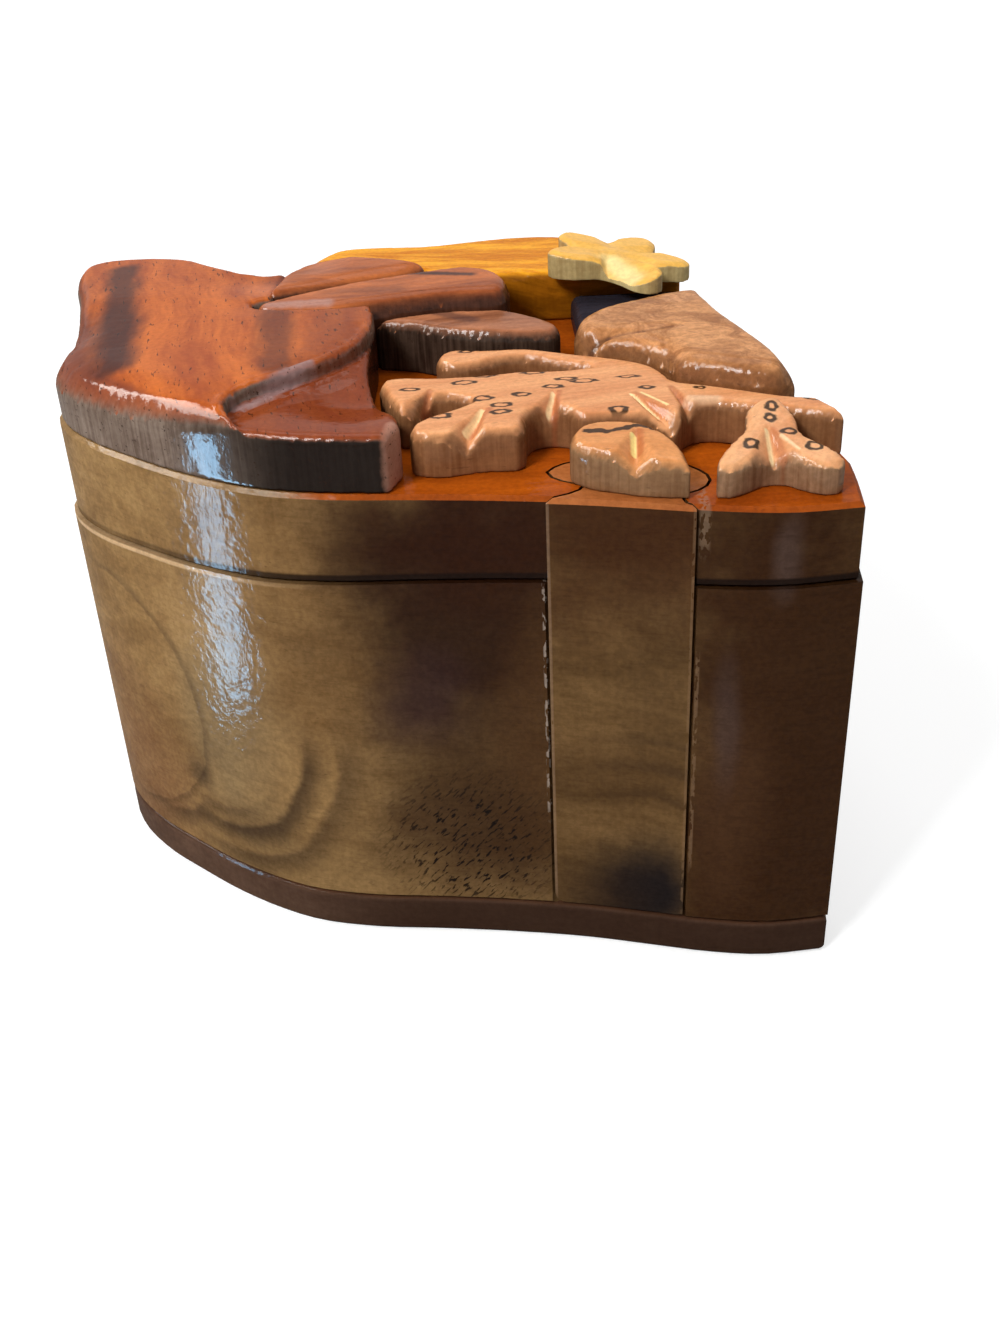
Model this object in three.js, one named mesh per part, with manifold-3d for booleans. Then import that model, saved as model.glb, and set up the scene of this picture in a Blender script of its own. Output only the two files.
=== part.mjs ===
// A scroll-sawn wooden puzzle box, 100 mm wide, 89 mm deep and 72 mm tall.
// A wall ring stands on a base board, and a thick lid lies on the ring. A full-height key with a jigsaw
// knob is let into the front of both, and slides straight up. Carved relief pieces of several woods are
// glued on the lid, and one of them on the key. Millimetres, +Z up, front towards -Y.
import * as THREE from "three";
import { mergeVertices } from "three/addons/utils/BufferGeometryUtils.js";
import Module from "manifold-3d";

const wasm = await Module();
wasm.setup();

// Driving dimensions: the box seen from above, and the heights of the stack
const BOX_WIDTH = 100.4;
const BOX_DEPTH = 88.7;
const BASE_THICKNESS = 5.5;
const WALL_HEIGHT = 45.3;
const LID_THICKNESS = 11.2;

// Driving dimensions: the saw cut between wall and lid, which rises to the right and falls to the back
const PARTING_RISE_RIGHT = 0.025;
const PARTING_FALL_BACK = 0.03;
const PARTING_GAP = 0.3;

// Driving dimensions: the key, the dowel and their clearances
const KEY_CLEARANCE = 0.35;
const KEY_FOOT_GAP = 0.3;
const DOWEL_DIAMETER = 8;
const DOWEL_DEPTH = 20;
const DOWEL_RISE = 6;
const DOWEL_GLUE_GAP = 0.1;
const DOWEL_RUNNING_GAP = 0.35;
const DOWEL_PLACE = [-39, 31];
const EDGE_ROUND = 0.5;
const LID_SETBACK = 0.5;
const FIELD_CORNER_CUT = 6;

// Driving dimensions: relief pieces, as heights above the lid's top; the snout rises above the animal
const ANIMAL_HEIGHT = 9;
const ANIMAL_STEP_HEIGHT = 6.8;
const ANIMAL_ROUND = 1.6;
const SNOUT_RISE = 0.2;
const FIN_HEIGHT = 6.8;
const CORAL_HEIGHT = 5.3;
const FORK_HEIGHT = 6.4;
const FORK_FRONT_HEIGHT = 3.5;
const FORK_RISE_BACK = 0.22;
const KEY_CARVING_HEIGHT = 5;
const ROCK_HEIGHT = 7.8;
const ROCK_ROUND = 2.2;
const GOLDEN_HEIGHT = 7.2;
const INSET_HEIGHT = 4;
const STAR_THICKNESS = 5.3;
const STAR_SINK = 1.5;
const RELIEF_SEAM = 0.35;
const RELIEF_SETBACK = 0.4;
const RELIEF_ROUND = 0.8;

// The starfish: five lobes round its middle
const STAR_CENTRE = [28.5, 27.2];
const STAR_RADIUS = 10.6;
const STAR_LOBES = 5;
const STAR_DIP = 0.2;
const STAR_TURN = -85;

// Spacing of the points along a curve, the points of a circle and of the starfish, and how far a cutting
// shape passes the faces that it cuts
const BOX_STEP = 2.4;
const RELIEF_STEP = 1.5;
const CIRCLE_POINTS = 40;
const STAR_POINTS = 60;
const PAST = 5;

// Outlines seen from above, run anticlockwise, as drawn for a box of this width and depth. A third value
// marks a sharp corner.
const DRAWN_WIDTH = 100.4;
const DRAWN_DEPTH = 88.7;
const CORNER = true;

const BOX_OUTLINE = [
  [48.9, -40.2, CORNER], [49.8, -32], [49.9, -26.6], [48.2, -22.6], [46.8, -18.6], [46, -11.5],
  [44, -3], [42, 5], [41, 13], [40.6, 20.5], [37.9, 29], [33.4, 36.4], [28.8, 42.2], [23, 46.6],
  [15.5, 47.9], [8, 46.6], [1, 45], [-6, 45.6], [-12.5, 44.8], [-16, 39.4], [-18.8, 32], [-23, 30.2],
  [-28, 33.2], [-32.4, 37.4], [-39.5, 39.8], [-46.6, 39.4], [-50.2, 35.8], [-49.8, 30], [-47.4, 21],
  [-45.6, 12], [-45.1, 5], [-45.6, -2], [-43.3, -7.9], [-38.7, -13.8], [-33.4, -18.6], [-27.5, -23.5],
  [-21.2, -27.7], [-15.6, -30.4], [-8, -32.2], [1, -33.2], [10, -34.4], [19, -36], [27, -38],
  [34, -39.8], [41, -40.8],
];

// The compartment keeps about 9 mm of wood to the outside, to the key's knob and to the dowel.
const COMPARTMENT_OUTLINE = [
  [-35.5, 8.5], [-34.6, 17], [-30, 21], [-22, 20.5], [-14.5, 22], [-10, 27], [-7.5, 33.5], [0, 35.6],
  [8, 36.6], [16, 38], [22.5, 36.4], [27.5, 31], [30.8, 23.5], [31.6, 15], [32.8, 3.5], [35.4, -7],
  [36.8, -14], [33, -18.2], [24, -18.6], [14, -19.6], [8.6, -23.6], [2, -25], [-8, -23.6], [-16, -20.8],
  [-24, -15], [-31, -8.5], [-35.6, -1.5],
].reverse();

// The key's front corners lie past the box, so that its front face follows the box's outline.
const KEY_OUTLINE = [
  [31, -48, CORNER], [30.9, -38.8, CORNER], [29.6, -37.2], [30, -35.4], [32.2, -34], [33.2, -31.4],
  [31.2, -27.8], [27, -25.4], [22, -24.9], [17.8, -25.9], [15.9, -28.2], [17.4, -30.4], [19.8, -32],
  [18.6, -33.6], [15.2, -35.2, CORNER], [15.2, -48, CORNER],
];

const ANIMAL_OUTLINE = [
  [-2.4, -46, CORNER], [-2, -33, CORNER], [-0.2, -28, CORNER], [-1, -23.5], [-3.4, -17.5], [-4.6, -10],
  [-4.6, -3], [-4.5, 3.4], [-5, 8], [-5.6, 13, CORNER], [-19, 13, CORNER], [-18.6, 22, CORNER],
  [-18.4, 50, CORNER], [-60, 50, CORNER], [-60, -46, CORNER],
];

// The lower step of the same piece lies inside this line.
const ANIMAL_STEP_OUTLINE = [
  [4, -46, CORNER], [4, -1, CORNER], [-4.6, -0.6, CORNER], [-5.8, -6], [-8.6, -11], [-12.4, -15],
  [-16.2, -18], [-19.4, -22], [-19.2, -26], [-15, -31], [-8, -36], [-4, -46, CORNER],
];

const SNOUT_LOWER_OUTLINE = [
  [-20.8, 12.2], [-19.2, 9.8], [-15, 8.7], [-10.4, 8.4], [-5.4, 9.2], [-0.4, 10.9], [4.5, 12], [9, 12],
  [12.2, 12.4],
  [13.2, 17], [11.4, 22.6], [7, 25], [1, 23.6], [-4, 21.6], [-10, 19], [-16, 15.8],
];

const SNOUT_UPPER_OUTLINE = [
  [-18.4, 16.6], [-15.5, 17.4], [-10, 20.2], [-4.5, 22.8], [0, 25], [2, 28], [-0.4, 30.6],
  [-6, 33.2], [-12, 34.8], [-15.8, 33.6], [-17.2, 29], [-17.8, 22.6],
];

const FIN_OUTLINE = [
  [-5, 9], [-0.1, 7], [4.2, 4.3], [9.5, 2.7], [14.7, 2.1], [18.6, 2.8], [19.4, 5], [17.4, 8],
  [13, 11.4], [5, 14], [-2, 13],
];

const CORAL_OUTLINE = [
  [13.8, -23.5], [15, -21.6], [17.2, -21.2], [18.8, -21.9], [19.2, -23.4], [20.3, -24.3], [22.6, -24.2],
  [25.2, -24.4], [27.4, -24.7], [29.2, -25.4], [30.7, -25.8], [31.2, -24.4], [32, -22.8], [33.4, -21.9],
  [36, -22.1], [38.6, -23.4], [41, -24.4], [44, -25.2], [48.4, -27], [51, -25.4], [48.4, -22.6],
  [43.4, -20.9], [39, -18.4], [35, -16.2], [31.8, -14.6], [31, -11.8], [29.6, -8.8], [26.8, -6.4],
  [23.4, -4.6], [20.8, -3.4], [18, -1.9], [14.5, -0.4], [9.4, -0.3], [4.9, 0.2], [3.2, -2.4],
  [4.4, -5.1], [7.5, -5.5], [10, -4.2], [13, -3], [15.4, -3.4], [17.6, -5.2], [20.2, -6.9], [22.6, -7.9],
  [20, -8.9], [16.8, -9],
  [13.4, -8.8], [9, -9.5], [3.7, -9.7], [-1.4, -9.1], [-3.4, -10], [-2.9, -13.4], [-1.9, -16.6],
  [-0.4, -19.6], [1.3, -18.8], [2.4, -16.2], [4, -15.4], [6.6, -16.6], [7.6, -18], [5.6, -20.2],
  [2.4, -22.6], [0.6, -25], [1.2, -27.6], [4.2, -28.4], [8.6, -27.4], [13.2, -27.2],
];

const FORK_OUTLINE = [
  [41.1, -23.6], [39.3, -24.7], [37.9, -26.5], [37.3, -30], [35.8, -31.8], [33.6, -35.2], [33.2, -37],
  [34.6, -37.4], [36.4, -36.5], [38.6, -34.8], [40, -34.5], [41.2, -34.9], [42.4, -36.2], [43.9, -37.4],
  [45.6, -37.8], [46.9, -36.4], [46.2, -34.6], [45, -33.3], [43.6, -31.9], [43, -30.4], [43.1, -28.6],
  [42.7, -26.2], [42.1, -24.3],
];

const KEY_CARVING_OUTLINE = [
  [18.2, -31.2, CORNER], [19.8, -33.2], [23.2, -34.9], [26.9, -36.3], [30.5, -36.9, CORNER],
  [30.4, -34], [29.6, -31.2], [28.2, -28.5], [26.2, -26.2], [24.2, -25.5], [21.8, -25.3], [19.8, -26.1],
  [18.6, -27.9], [18.2, -29.6],
];

const ROCK_OUTLINE = [
  [23.3, -3.7], [27, -5.6], [29.9, -8], [31.6, -11.2], [32.2, -13.8], [35, -15.4], [39.2, -17.6],
  [42.6, -18.6], [45, -17.2], [47, -14.6, CORNER], [52, -13, CORNER], [52, 14, CORNER], [37, 15.8],
  [33.6, 14.6], [29.6, 12], [24.4, 8.2], [21.4, 4], [21, -0.6],
];

const GOLDEN_OUTLINE = [
  [60, 26.4, CORNER], [60, 60, CORNER], [-22, 60, CORNER], [-17, 33, CORNER], [-6, 29, CORNER],
  [1, 24, CORNER], [12, 26.8, CORNER], [21.4, 26.4, CORNER],
];

const INSET_OUTLINE = [
  [22, 10, CORNER], [26, 7, CORNER], [44, 12, CORNER], [44, 26, CORNER], [22, 26, CORNER],
];

// Where a drawn point lies on the box.
function place([x, y]) {
  return new THREE.Vector2((x * BOX_WIDTH) / DRAWN_WIDTH, (y * BOX_DEPTH) / DRAWN_DEPTH);
}

// Points of a closed outline: a curve through the points between one sharp corner and the next.
function trace(points, step) {
  const corners = points.flatMap((p, i) => (p[2] ? [i] : []));
  const at = (point) => new THREE.Vector3(...place(point), 0);
  if (!corners.length) {
    const curve = new THREE.CatmullRomCurve3(points.map(at), true, "centripetal");
    const ring = curve.getSpacedPoints(Math.ceil(curve.getLength() / step)).slice(0, -1);
    return ring.map((p) => new THREE.Vector2(p.x, p.y));
  }
  const ring = [];
  corners.forEach((start, k) => {
    const end = k + 1 < corners.length ? corners[k + 1] : corners[0] + points.length;
    const run = [];
    for (let i = start; i <= end; i++) run.push(at(points[i % points.length]));
    if (run.length === 2) {
      ring.push(run[0]);
      return;
    }
    const curve = new THREE.CatmullRomCurve3(run, false, "centripetal");
    ring.push(...curve.getSpacedPoints(Math.ceil(curve.getLength() / step)).slice(0, -1));
  });
  return ring.map((p) => new THREE.Vector2(p.x, p.y));
}

// The same ring moved outwards by a distance, or inwards by a negative one.
function offset(ring, distance) {
  return ring.map((p, i) => {
    const before = ring[(i + ring.length - 1) % ring.length];
    const after = ring[(i + 1) % ring.length];
    const a = p.clone().sub(before).normalize();
    const b = after.clone().sub(p).normalize();
    const normal = new THREE.Vector2(a.y + b.y, -a.x - b.x).normalize();
    const reach = distance / Math.max(0.5, normal.x * a.y - normal.y * a.x);
    return p.clone().addScaledVector(normal, reach);
  });
}

// A ring round a centre, whose radius is given for each angle.
function round(centre, count, radiusAt) {
  return Array.from({ length: count }, (_, i) => {
    const angle = (2 * Math.PI * i) / count;
    const radius = radiusAt(angle);
    return place(centre).add(new THREE.Vector2(radius * Math.cos(angle), radius * Math.sin(angle)));
  });
}

function circle(centre, radius) {
  return round(centre, CIRCLE_POINTS, () => radius);
}

// A three.js geometry as a solid that can be joined and cut.
function solid(geometry) {
  geometry.deleteAttribute("normal");
  geometry.deleteAttribute("uv");
  const merged = mergeVertices(geometry, 1e-4);
  const vertProperties = merged.attributes.position.array;
  return new wasm.Manifold(
    new wasm.Mesh({ numProp: 3, vertProperties, triVerts: new Uint32Array(merged.index.array) }),
  );
}

function prism(ring, bottom, top) {
  const geometry = new THREE.ExtrudeGeometry(new THREE.Shape(ring), {
    depth: top - bottom,
    bevelEnabled: false,
  });
  return solid(geometry.translate(0, 0, bottom));
}

// A slab with both its edges eased.
function easedSlab(ring, bottom, top, ease) {
  const geometry = new THREE.ExtrudeGeometry(new THREE.Shape(ring), {
    depth: top - bottom - 2 * ease,
    bevelThickness: ease,
    bevelSize: ease,
    bevelOffset: -ease,
    bevelSegments: 1,
  });
  return solid(geometry.translate(0, 0, bottom + ease));
}

// A block wider than the box, with its underside at a level.
function block(level) {
  const size = 2 * boxRing.reduce((most, p) => Math.max(most, p.length()), 0) + PAST;
  return new THREE.BoxGeometry(size, size, size).translate(0, 0, size / 2 + level);
}

// A slab with its top edge eased and its foot left square.
function carvedSlab(ring, bottom, top, ease) {
  return easedSlab(ring, bottom - ease, top, ease).intersect(solid(block(bottom)));
}

const body = new THREE.Group();
const lid = new THREE.Group();
const key = new THREE.Group();

function add(group, name, made, color, roughness = 0.3) {
  const { vertProperties, triVerts, numProp } = made.getMesh();
  const geometry = new THREE.BufferGeometry();
  const positions = new Float32Array((vertProperties.length / numProp) * 3);
  for (let i = 0; i < positions.length / 3; i++)
    positions.set(vertProperties.subarray(i * numProp, i * numProp + 3), i * 3);
  geometry.setAttribute("position", new THREE.BufferAttribute(positions, 3));
  geometry.setIndex(new THREE.BufferAttribute(triVerts, 1));
  geometry.computeVertexNormals();
  const mesh = new THREE.Mesh(geometry, new THREE.MeshStandardMaterial({ color, roughness, metalness: 0 }));
  mesh.name = name;
  group.add(mesh);
}

// Levels of the stack
const partingZ = BASE_THICKNESS + WALL_HEIGHT;
const lidTopZ = partingZ + LID_THICKNESS;
const starFootZ = lidTopZ + GOLDEN_HEIGHT - STAR_SINK;
const snoutHeight = ANIMAL_HEIGHT + SNOUT_RISE;
const highestZ = lidTopZ + snoutHeight;

// Rings shared by the pieces
const boxRing = trace(BOX_OUTLINE, BOX_STEP);
const lidRing = offset(boxRing, -LID_SETBACK);
const keyRing = trace(KEY_OUTLINE, RELIEF_STEP);
const keySlot = prism(offset(keyRing, KEY_CLEARANCE), BASE_THICKNESS - PAST, lidTopZ + PAST);
const dowelRadius = DOWEL_DIAMETER / 2;
const starTurn = THREE.MathUtils.degToRad(STAR_TURN);
const starRing = round(STAR_CENTRE, STAR_POINTS, (angle) => {
  return STAR_RADIUS * (1 - STAR_DIP + STAR_DIP * Math.cos(STAR_LOBES * (angle - starTurn)));
});

// All that lies above a sloping plane, at a level given for the middle of the box.
function above(level, riseRight, riseBack) {
  const sheared = block(level);
  const places = sheared.attributes.position;
  for (let i = 0; i < places.count; i++)
    places.setZ(i, places.getZ(i) + riseRight * places.getX(i) + riseBack * places.getY(i));
  return solid(sheared);
}

// All that lies above the saw cut.
function aboveCut(level) {
  return above(level, PARTING_RISE_RIGHT, -PARTING_FALL_BACK);
}

function addBox() {
  add(body, "base_plate", easedSlab(boxRing, 0, BASE_THICKNESS, EDGE_ROUND), 0x4b3226);
  const hole = circle(DOWEL_PLACE, dowelRadius + DOWEL_GLUE_GAP);
  const compartment = prism(trace(COMPARTMENT_OUTLINE, BOX_STEP), BASE_THICKNESS - PAST, lidTopZ);
  const wall = easedSlab(boxRing, BASE_THICKNESS, lidTopZ, EDGE_ROUND)
    .subtract(aboveCut(partingZ - PARTING_GAP))
    .subtract(compartment)
    .subtract(keySlot)
    .subtract(prism(hole, partingZ - DOWEL_DEPTH, partingZ + PAST));
  add(body, "box_body", wall, 0x6e552d);
  const dowel = carvedSlab(
    circle(DOWEL_PLACE, dowelRadius),
    partingZ - DOWEL_DEPTH + DOWEL_GLUE_GAP,
    partingZ + DOWEL_RISE,
    EDGE_ROUND,
  );
  add(body, "pivot_dowel", dowel, 0xc9a36b, 0.6);
}

function addLid() {
  const bore = prism(
    circle(DOWEL_PLACE, dowelRadius + DOWEL_RUNNING_GAP),
    BASE_THICKNESS, partingZ + DOWEL_RISE + DOWEL_RUNNING_GAP,
  );
  const plate = easedSlab(lidRing, BASE_THICKNESS, lidTopZ, EDGE_ROUND)
    .intersect(aboveCut(partingZ))
    .subtract(keySlot)
    .subtract(bore);
  add(lid, "lid_plate", plate, 0x9a5a22);
}

function addKey() {
  const blank = prism(keyRing, BASE_THICKNESS + KEY_FOOT_GAP, lidTopZ);
  const face = easedSlab(boxRing, BASE_THICKNESS, lidTopZ, EDGE_ROUND);
  add(key, "lock_key", blank.intersect(face), 0x5f4222);
  const carving = carvedSlab(
    trace(KEY_CARVING_OUTLINE, RELIEF_STEP), lidTopZ, lidTopZ + KEY_CARVING_HEIGHT, RELIEF_ROUND,
  );
  add(key, "key_carving", carving, 0xe1a069);
}

// A relief piece: its outline within the lid's edge, standing on the lid.
function relief(outline, height, ease = RELIEF_ROUND) {
  const corner = place(BOX_OUTLINE[0]);
  const edge = lidRing.filter((p) => p.distanceTo(corner) > FIELD_CORNER_CUT);
  const field = offset(edge, -RELIEF_SETBACK);
  const ring = trace(outline, RELIEF_STEP);
  const reaching = prism(ring, lidTopZ, lidTopZ + height);
  return reaching.intersect(carvedSlab(field, lidTopZ, lidTopZ + height, ease));
}

// The room that a piece takes from its neighbours, with the seam between them.
function room(outline) {
  return prism(offset(trace(outline, RELIEF_STEP), RELIEF_SEAM), lidTopZ - PAST, highestZ + PAST);
}

function addAnimal() {
  const snoutRoom = room(SNOUT_LOWER_OUTLINE).add(room(SNOUT_UPPER_OUTLINE));
  const step = prism(
    trace(ANIMAL_STEP_OUTLINE, RELIEF_STEP), lidTopZ + ANIMAL_STEP_HEIGHT, highestZ + PAST,
  );
  const animal = relief(ANIMAL_OUTLINE, ANIMAL_HEIGHT, ANIMAL_ROUND).subtract(snoutRoom).subtract(step);
  add(lid, "animal_body", animal, 0xa8552a);
  const eased = (outline, height) =>
    carvedSlab(trace(outline, RELIEF_STEP), lidTopZ, lidTopZ + height, RELIEF_ROUND);
  add(lid, "snout_lower", eased(SNOUT_LOWER_OUTLINE, snoutHeight), 0x8a4526);
  const upper = eased(SNOUT_UPPER_OUTLINE, snoutHeight)
    .intersect(relief(SNOUT_UPPER_OUTLINE, snoutHeight))
    .subtract(room(SNOUT_LOWER_OUTLINE));
  add(lid, "snout_upper", upper, 0x8f4a2a);
  const fin = eased(FIN_OUTLINE, FIN_HEIGHT).subtract(snoutRoom).subtract(room(ANIMAL_OUTLINE));
  add(lid, "side_fin", fin, 0x9c5a36);
}

function addCoral() {
  const forkRing = trace(FORK_OUTLINE, RELIEF_STEP);
  const forkFront = forkRing.reduce((least, p) => Math.min(least, p.y), 0);
  const forkLevel = lidTopZ + FORK_FRONT_HEIGHT - FORK_RISE_BACK * forkFront;
  const fork = carvedSlab(forkRing, lidTopZ, lidTopZ + FORK_HEIGHT, RELIEF_ROUND)
    .subtract(above(forkLevel, 0, FORK_RISE_BACK));
  add(lid, "coral_fork", fork, 0xdf9f6a);
  const coral = carvedSlab(trace(CORAL_OUTLINE, RELIEF_STEP), lidTopZ, lidTopZ + CORAL_HEIGHT, RELIEF_ROUND)
    .intersect(relief(CORAL_OUTLINE, CORAL_HEIGHT))
    .subtract(room(FORK_OUTLINE))
    .subtract(room(ANIMAL_OUTLINE));
  add(lid, "coral_main", coral, 0xe1a069);
}

function addBack() {
  const rock = carvedSlab(trace(ROCK_OUTLINE, RELIEF_STEP), lidTopZ, lidTopZ + ROCK_HEIGHT, RELIEF_ROUND)
    .intersect(relief(ROCK_OUTLINE, ROCK_HEIGHT, ROCK_ROUND))
    .subtract(room(CORAL_OUTLINE));
  add(lid, "rock", rock, 0xaf7846);
  const starRoom = prism(offset(starRing, RELIEF_SEAM), starFootZ, highestZ + PAST);
  const golden = relief(GOLDEN_OUTLINE, GOLDEN_HEIGHT)
    .subtract(room(SNOUT_LOWER_OUTLINE))
    .subtract(room(SNOUT_UPPER_OUTLINE))
    .subtract(room(ANIMAL_OUTLINE))
    .subtract(starRoom);
  add(lid, "golden_panel", golden, 0xe19b2d);
  const inset = relief(INSET_OUTLINE, INSET_HEIGHT)
    .subtract(room(ROCK_OUTLINE))
    .subtract(room(GOLDEN_OUTLINE));
  add(lid, "dark_inset", inset, 0x231e23);
}

function addStar() {
  const star = carvedSlab(starRing, starFootZ, starFootZ + STAR_THICKNESS, RELIEF_ROUND);
  add(lid, "starfish", star, 0xebcd6e);
}

addBox();
addLid();
addKey();
addAnimal();
addCoral();
addBack();
addStar();

// The origin is the middle of the footprint, on the surface that the box stands on.
const puzzleBox = new THREE.Group();
puzzleBox.add(body, lid, key);
const extent = new THREE.Box3().setFromObject(puzzleBox);
const middle = extent.getCenter(new THREE.Vector3());
puzzleBox.position.set(-middle.x, -middle.y, 0);

export default puzzleBox;
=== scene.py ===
"""Looks of a scroll-sawn puzzle box: sawn and carved woods under a clear gloss lacquer, in a plain studio."""

import logging
import math
from dataclasses import dataclass
from enum import Enum
from typing import Callable, Sequence

import bpy
import numpy as np
from mathutils import Matrix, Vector
from mathutils.kdtree import KDTree


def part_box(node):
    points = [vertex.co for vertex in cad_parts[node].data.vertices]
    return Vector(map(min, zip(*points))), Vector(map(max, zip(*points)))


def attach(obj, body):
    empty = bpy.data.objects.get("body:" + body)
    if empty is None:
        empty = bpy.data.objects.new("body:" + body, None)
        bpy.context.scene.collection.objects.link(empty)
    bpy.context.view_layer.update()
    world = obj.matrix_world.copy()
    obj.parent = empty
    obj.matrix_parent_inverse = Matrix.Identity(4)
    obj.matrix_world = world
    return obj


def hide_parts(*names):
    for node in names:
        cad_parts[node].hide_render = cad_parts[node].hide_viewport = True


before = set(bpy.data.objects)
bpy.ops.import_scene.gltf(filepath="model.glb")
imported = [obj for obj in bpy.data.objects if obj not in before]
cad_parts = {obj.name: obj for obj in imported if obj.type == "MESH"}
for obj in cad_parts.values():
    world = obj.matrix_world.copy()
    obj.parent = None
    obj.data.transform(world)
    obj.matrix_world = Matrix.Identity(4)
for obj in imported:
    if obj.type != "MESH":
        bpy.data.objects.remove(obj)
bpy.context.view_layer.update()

log = logging.getLogger("puzzle_box")

Array = np.ndarray
Colour = tuple[float, float, float]
Place = tuple[float, float, float]
Point = tuple[float, float]
Span = tuple[float, float]
Stroke = tuple[Point, Point]
Mound = tuple[Point, Point]
Socket = bpy.types.NodeSocket

MM = 0.001
WHITE: Colour = (1.0, 1.0, 1.0)


def srgb(red: int, green: int, blue: int) -> Colour:
    """Gives a display colour of 0 to 255 as linear light.

    Args:
        red: The red channel.
        green: The green one.
        blue: The blue one.

    Returns:
        The linear colour.
    """

    def linear(value: int) -> float:
        """Gives one channel's light."""
        share = value / 255
        return share / 12.92 if share <= 0.04045 else ((share + 0.055) / 1.055) ** 2.4

    return linear(red), linear(green), linear(blue)


class Graph:
    """Builds the node tree of a material or of the world, a call for each node."""

    def __init__(self, owner: bpy.types.ID, output: str = "OutputMaterial") -> None:
        """Starts an empty tree with its output.

        Args:
            owner: The material or the world.
            output: The output node's type, named as in add.
        """
        owner.use_nodes = True
        self.tree = owner.node_tree
        self.tree.nodes.clear()
        self.output = self.tree.nodes.new("ShaderNode" + output)

    def add(
        self, kind: str, inputs: dict[str | int, object], out: str | int = 0, **settings: object
    ) -> Socket:
        """Adds a node, feeds its inputs and gives one of its outputs.

        Args:
            kind: The node's type without the leading "ShaderNode".
            inputs: Each input's name or number, with a socket to link or a value.
            out: The name or number of the output that is wanted.
            **settings: Properties of the node.

        Returns:
            The wanted output.
        """
        node = self.tree.nodes.new("ShaderNode" + kind)
        for key, value in settings.items():
            setattr(node, key, value)
        for key, value in inputs.items():
            if isinstance(value, Socket):
                self.tree.links.new(value, node.inputs[key])
            elif isinstance(value, tuple) and node.inputs[key].type == "RGBA":
                node.inputs[key].default_value = (*value, 1.0)
            else:
                node.inputs[key].default_value = value
        return node.outputs[out]

    def math(self, operation: str, a: object, b: object = 0.0, clamp: bool = False) -> Socket:
        """Works out one value from two."""
        return self.add("Math", {0: a, 1: b}, operation=operation, use_clamp=clamp)

    def plus(self, a: object, b: object) -> Socket:
        """Adds two values."""
        return self.math("ADD", a, b)

    def less(self, a: object, b: object) -> Socket:
        """Takes the second value from the first."""
        return self.math("SUBTRACT", a, b)

    def times(self, first: object, *others: object) -> Socket:
        """Multiplies values, from left to right.

        Args:
            first: The first value.
            *others: The other values.

        Returns:
            Their product.
        """
        for other in others:
            first = self.math("MULTIPLY", first, other)
        return first

    def vector(self, operation: str, a: object, b: object = (0.0, 0.0, 0.0), c: object = None) -> Socket:
        """Works out a vector, or the one value that a length, distance or dot product is.

        Args:
            operation: What is worked out.
            a: The first vector.
            b: The second one.
            c: The third one, where the operation has three.

        Returns:
            The result.
        """
        inputs = {0: a, 1: b} if c is None else {0: a, 1: b, 2: c}
        out = "Value" if operation in ("LENGTH", "DISTANCE", "DOT_PRODUCT") else "Vector"
        return self.add("VectorMath", inputs, out, operation=operation)

    def scaled(self, where: Socket, by: Place) -> Socket:
        """Scales a place along each axis."""
        return self.vector("MULTIPLY", where, by)

    def axis(self, where: Socket, name: str) -> Socket:
        """Gives a place along one axis."""
        return self.add("SeparateXYZ", {0: where}, name)

    def smooth(self, value: object, start: float, end: float, low: float = 0.0, high: float = 1.0) -> Socket:
        """Adds a soft step from low at start to high at end."""
        inputs = {0: value, 1: start, 2: end, 3: low, 4: high}
        return self.add("MapRange", inputs, interpolation_type="SMOOTHSTEP")

    def noise(
        self, where: Socket, scale: float, detail: float = 3.0, rough: float = 0.5, warp: float = 0.0
    ) -> Socket:
        """Adds a cloud of values round 0.5."""
        inputs = {"Vector": where, "Scale": scale, "Detail": detail, "Roughness": rough, "Distortion": warp}
        return self.add("TexNoise", inputs, "Fac")

    def stray(self, where: Socket, scale: float, detail: float, rough: float = 0.5) -> Socket:
        """Adds a vector that strays round zero."""
        inputs = {"Vector": where, "Scale": scale, "Detail": detail, "Roughness": rough}
        return self.vector("SUBTRACT", self.add("TexNoise", inputs, "Color"), (0.5, 0.5, 0.5))

    def mix(self, share: object, a: object, b: object, blend: str = "MIX") -> Socket:
        """Adds a mix of two colours."""
        return self.add("Mix", {0: share, 6: a, 7: b}, 2, data_type="RGBA", blend_type=blend)

    def millimetres(self) -> Socket:
        """Gives the place on the piece in millimetres."""
        return self.scaled(self.add("TexCoord", {}, "Object"), (1000.0,) * 3)

    def facing_up(self) -> Socket:
        """Gives 1 where the surface faces up and 0 on walls."""
        return self.smooth(self.axis(self.add("TexCoord", {}, "Normal"), "Z"), 0.3, 0.75)

    def turned(self, where: Socket, degrees: float, stretch: Place) -> Socket:
        """Gives the place along and across a direction in plan, each stretched by its own amount.

        Args:
            where: The place on the piece, in millimetres.
            degrees: The direction, from X towards Y.
            stretch: What each axis is multiplied by.

        Returns:
            The turned place.
        """
        scale = tuple(1 / share for share in stretch)
        inputs = {"Vector": where, "Rotation": (0.0, 0.0, math.radians(degrees)), "Scale": scale}
        return self.add("Mapping", inputs, vector_type="TEXTURE")

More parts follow.
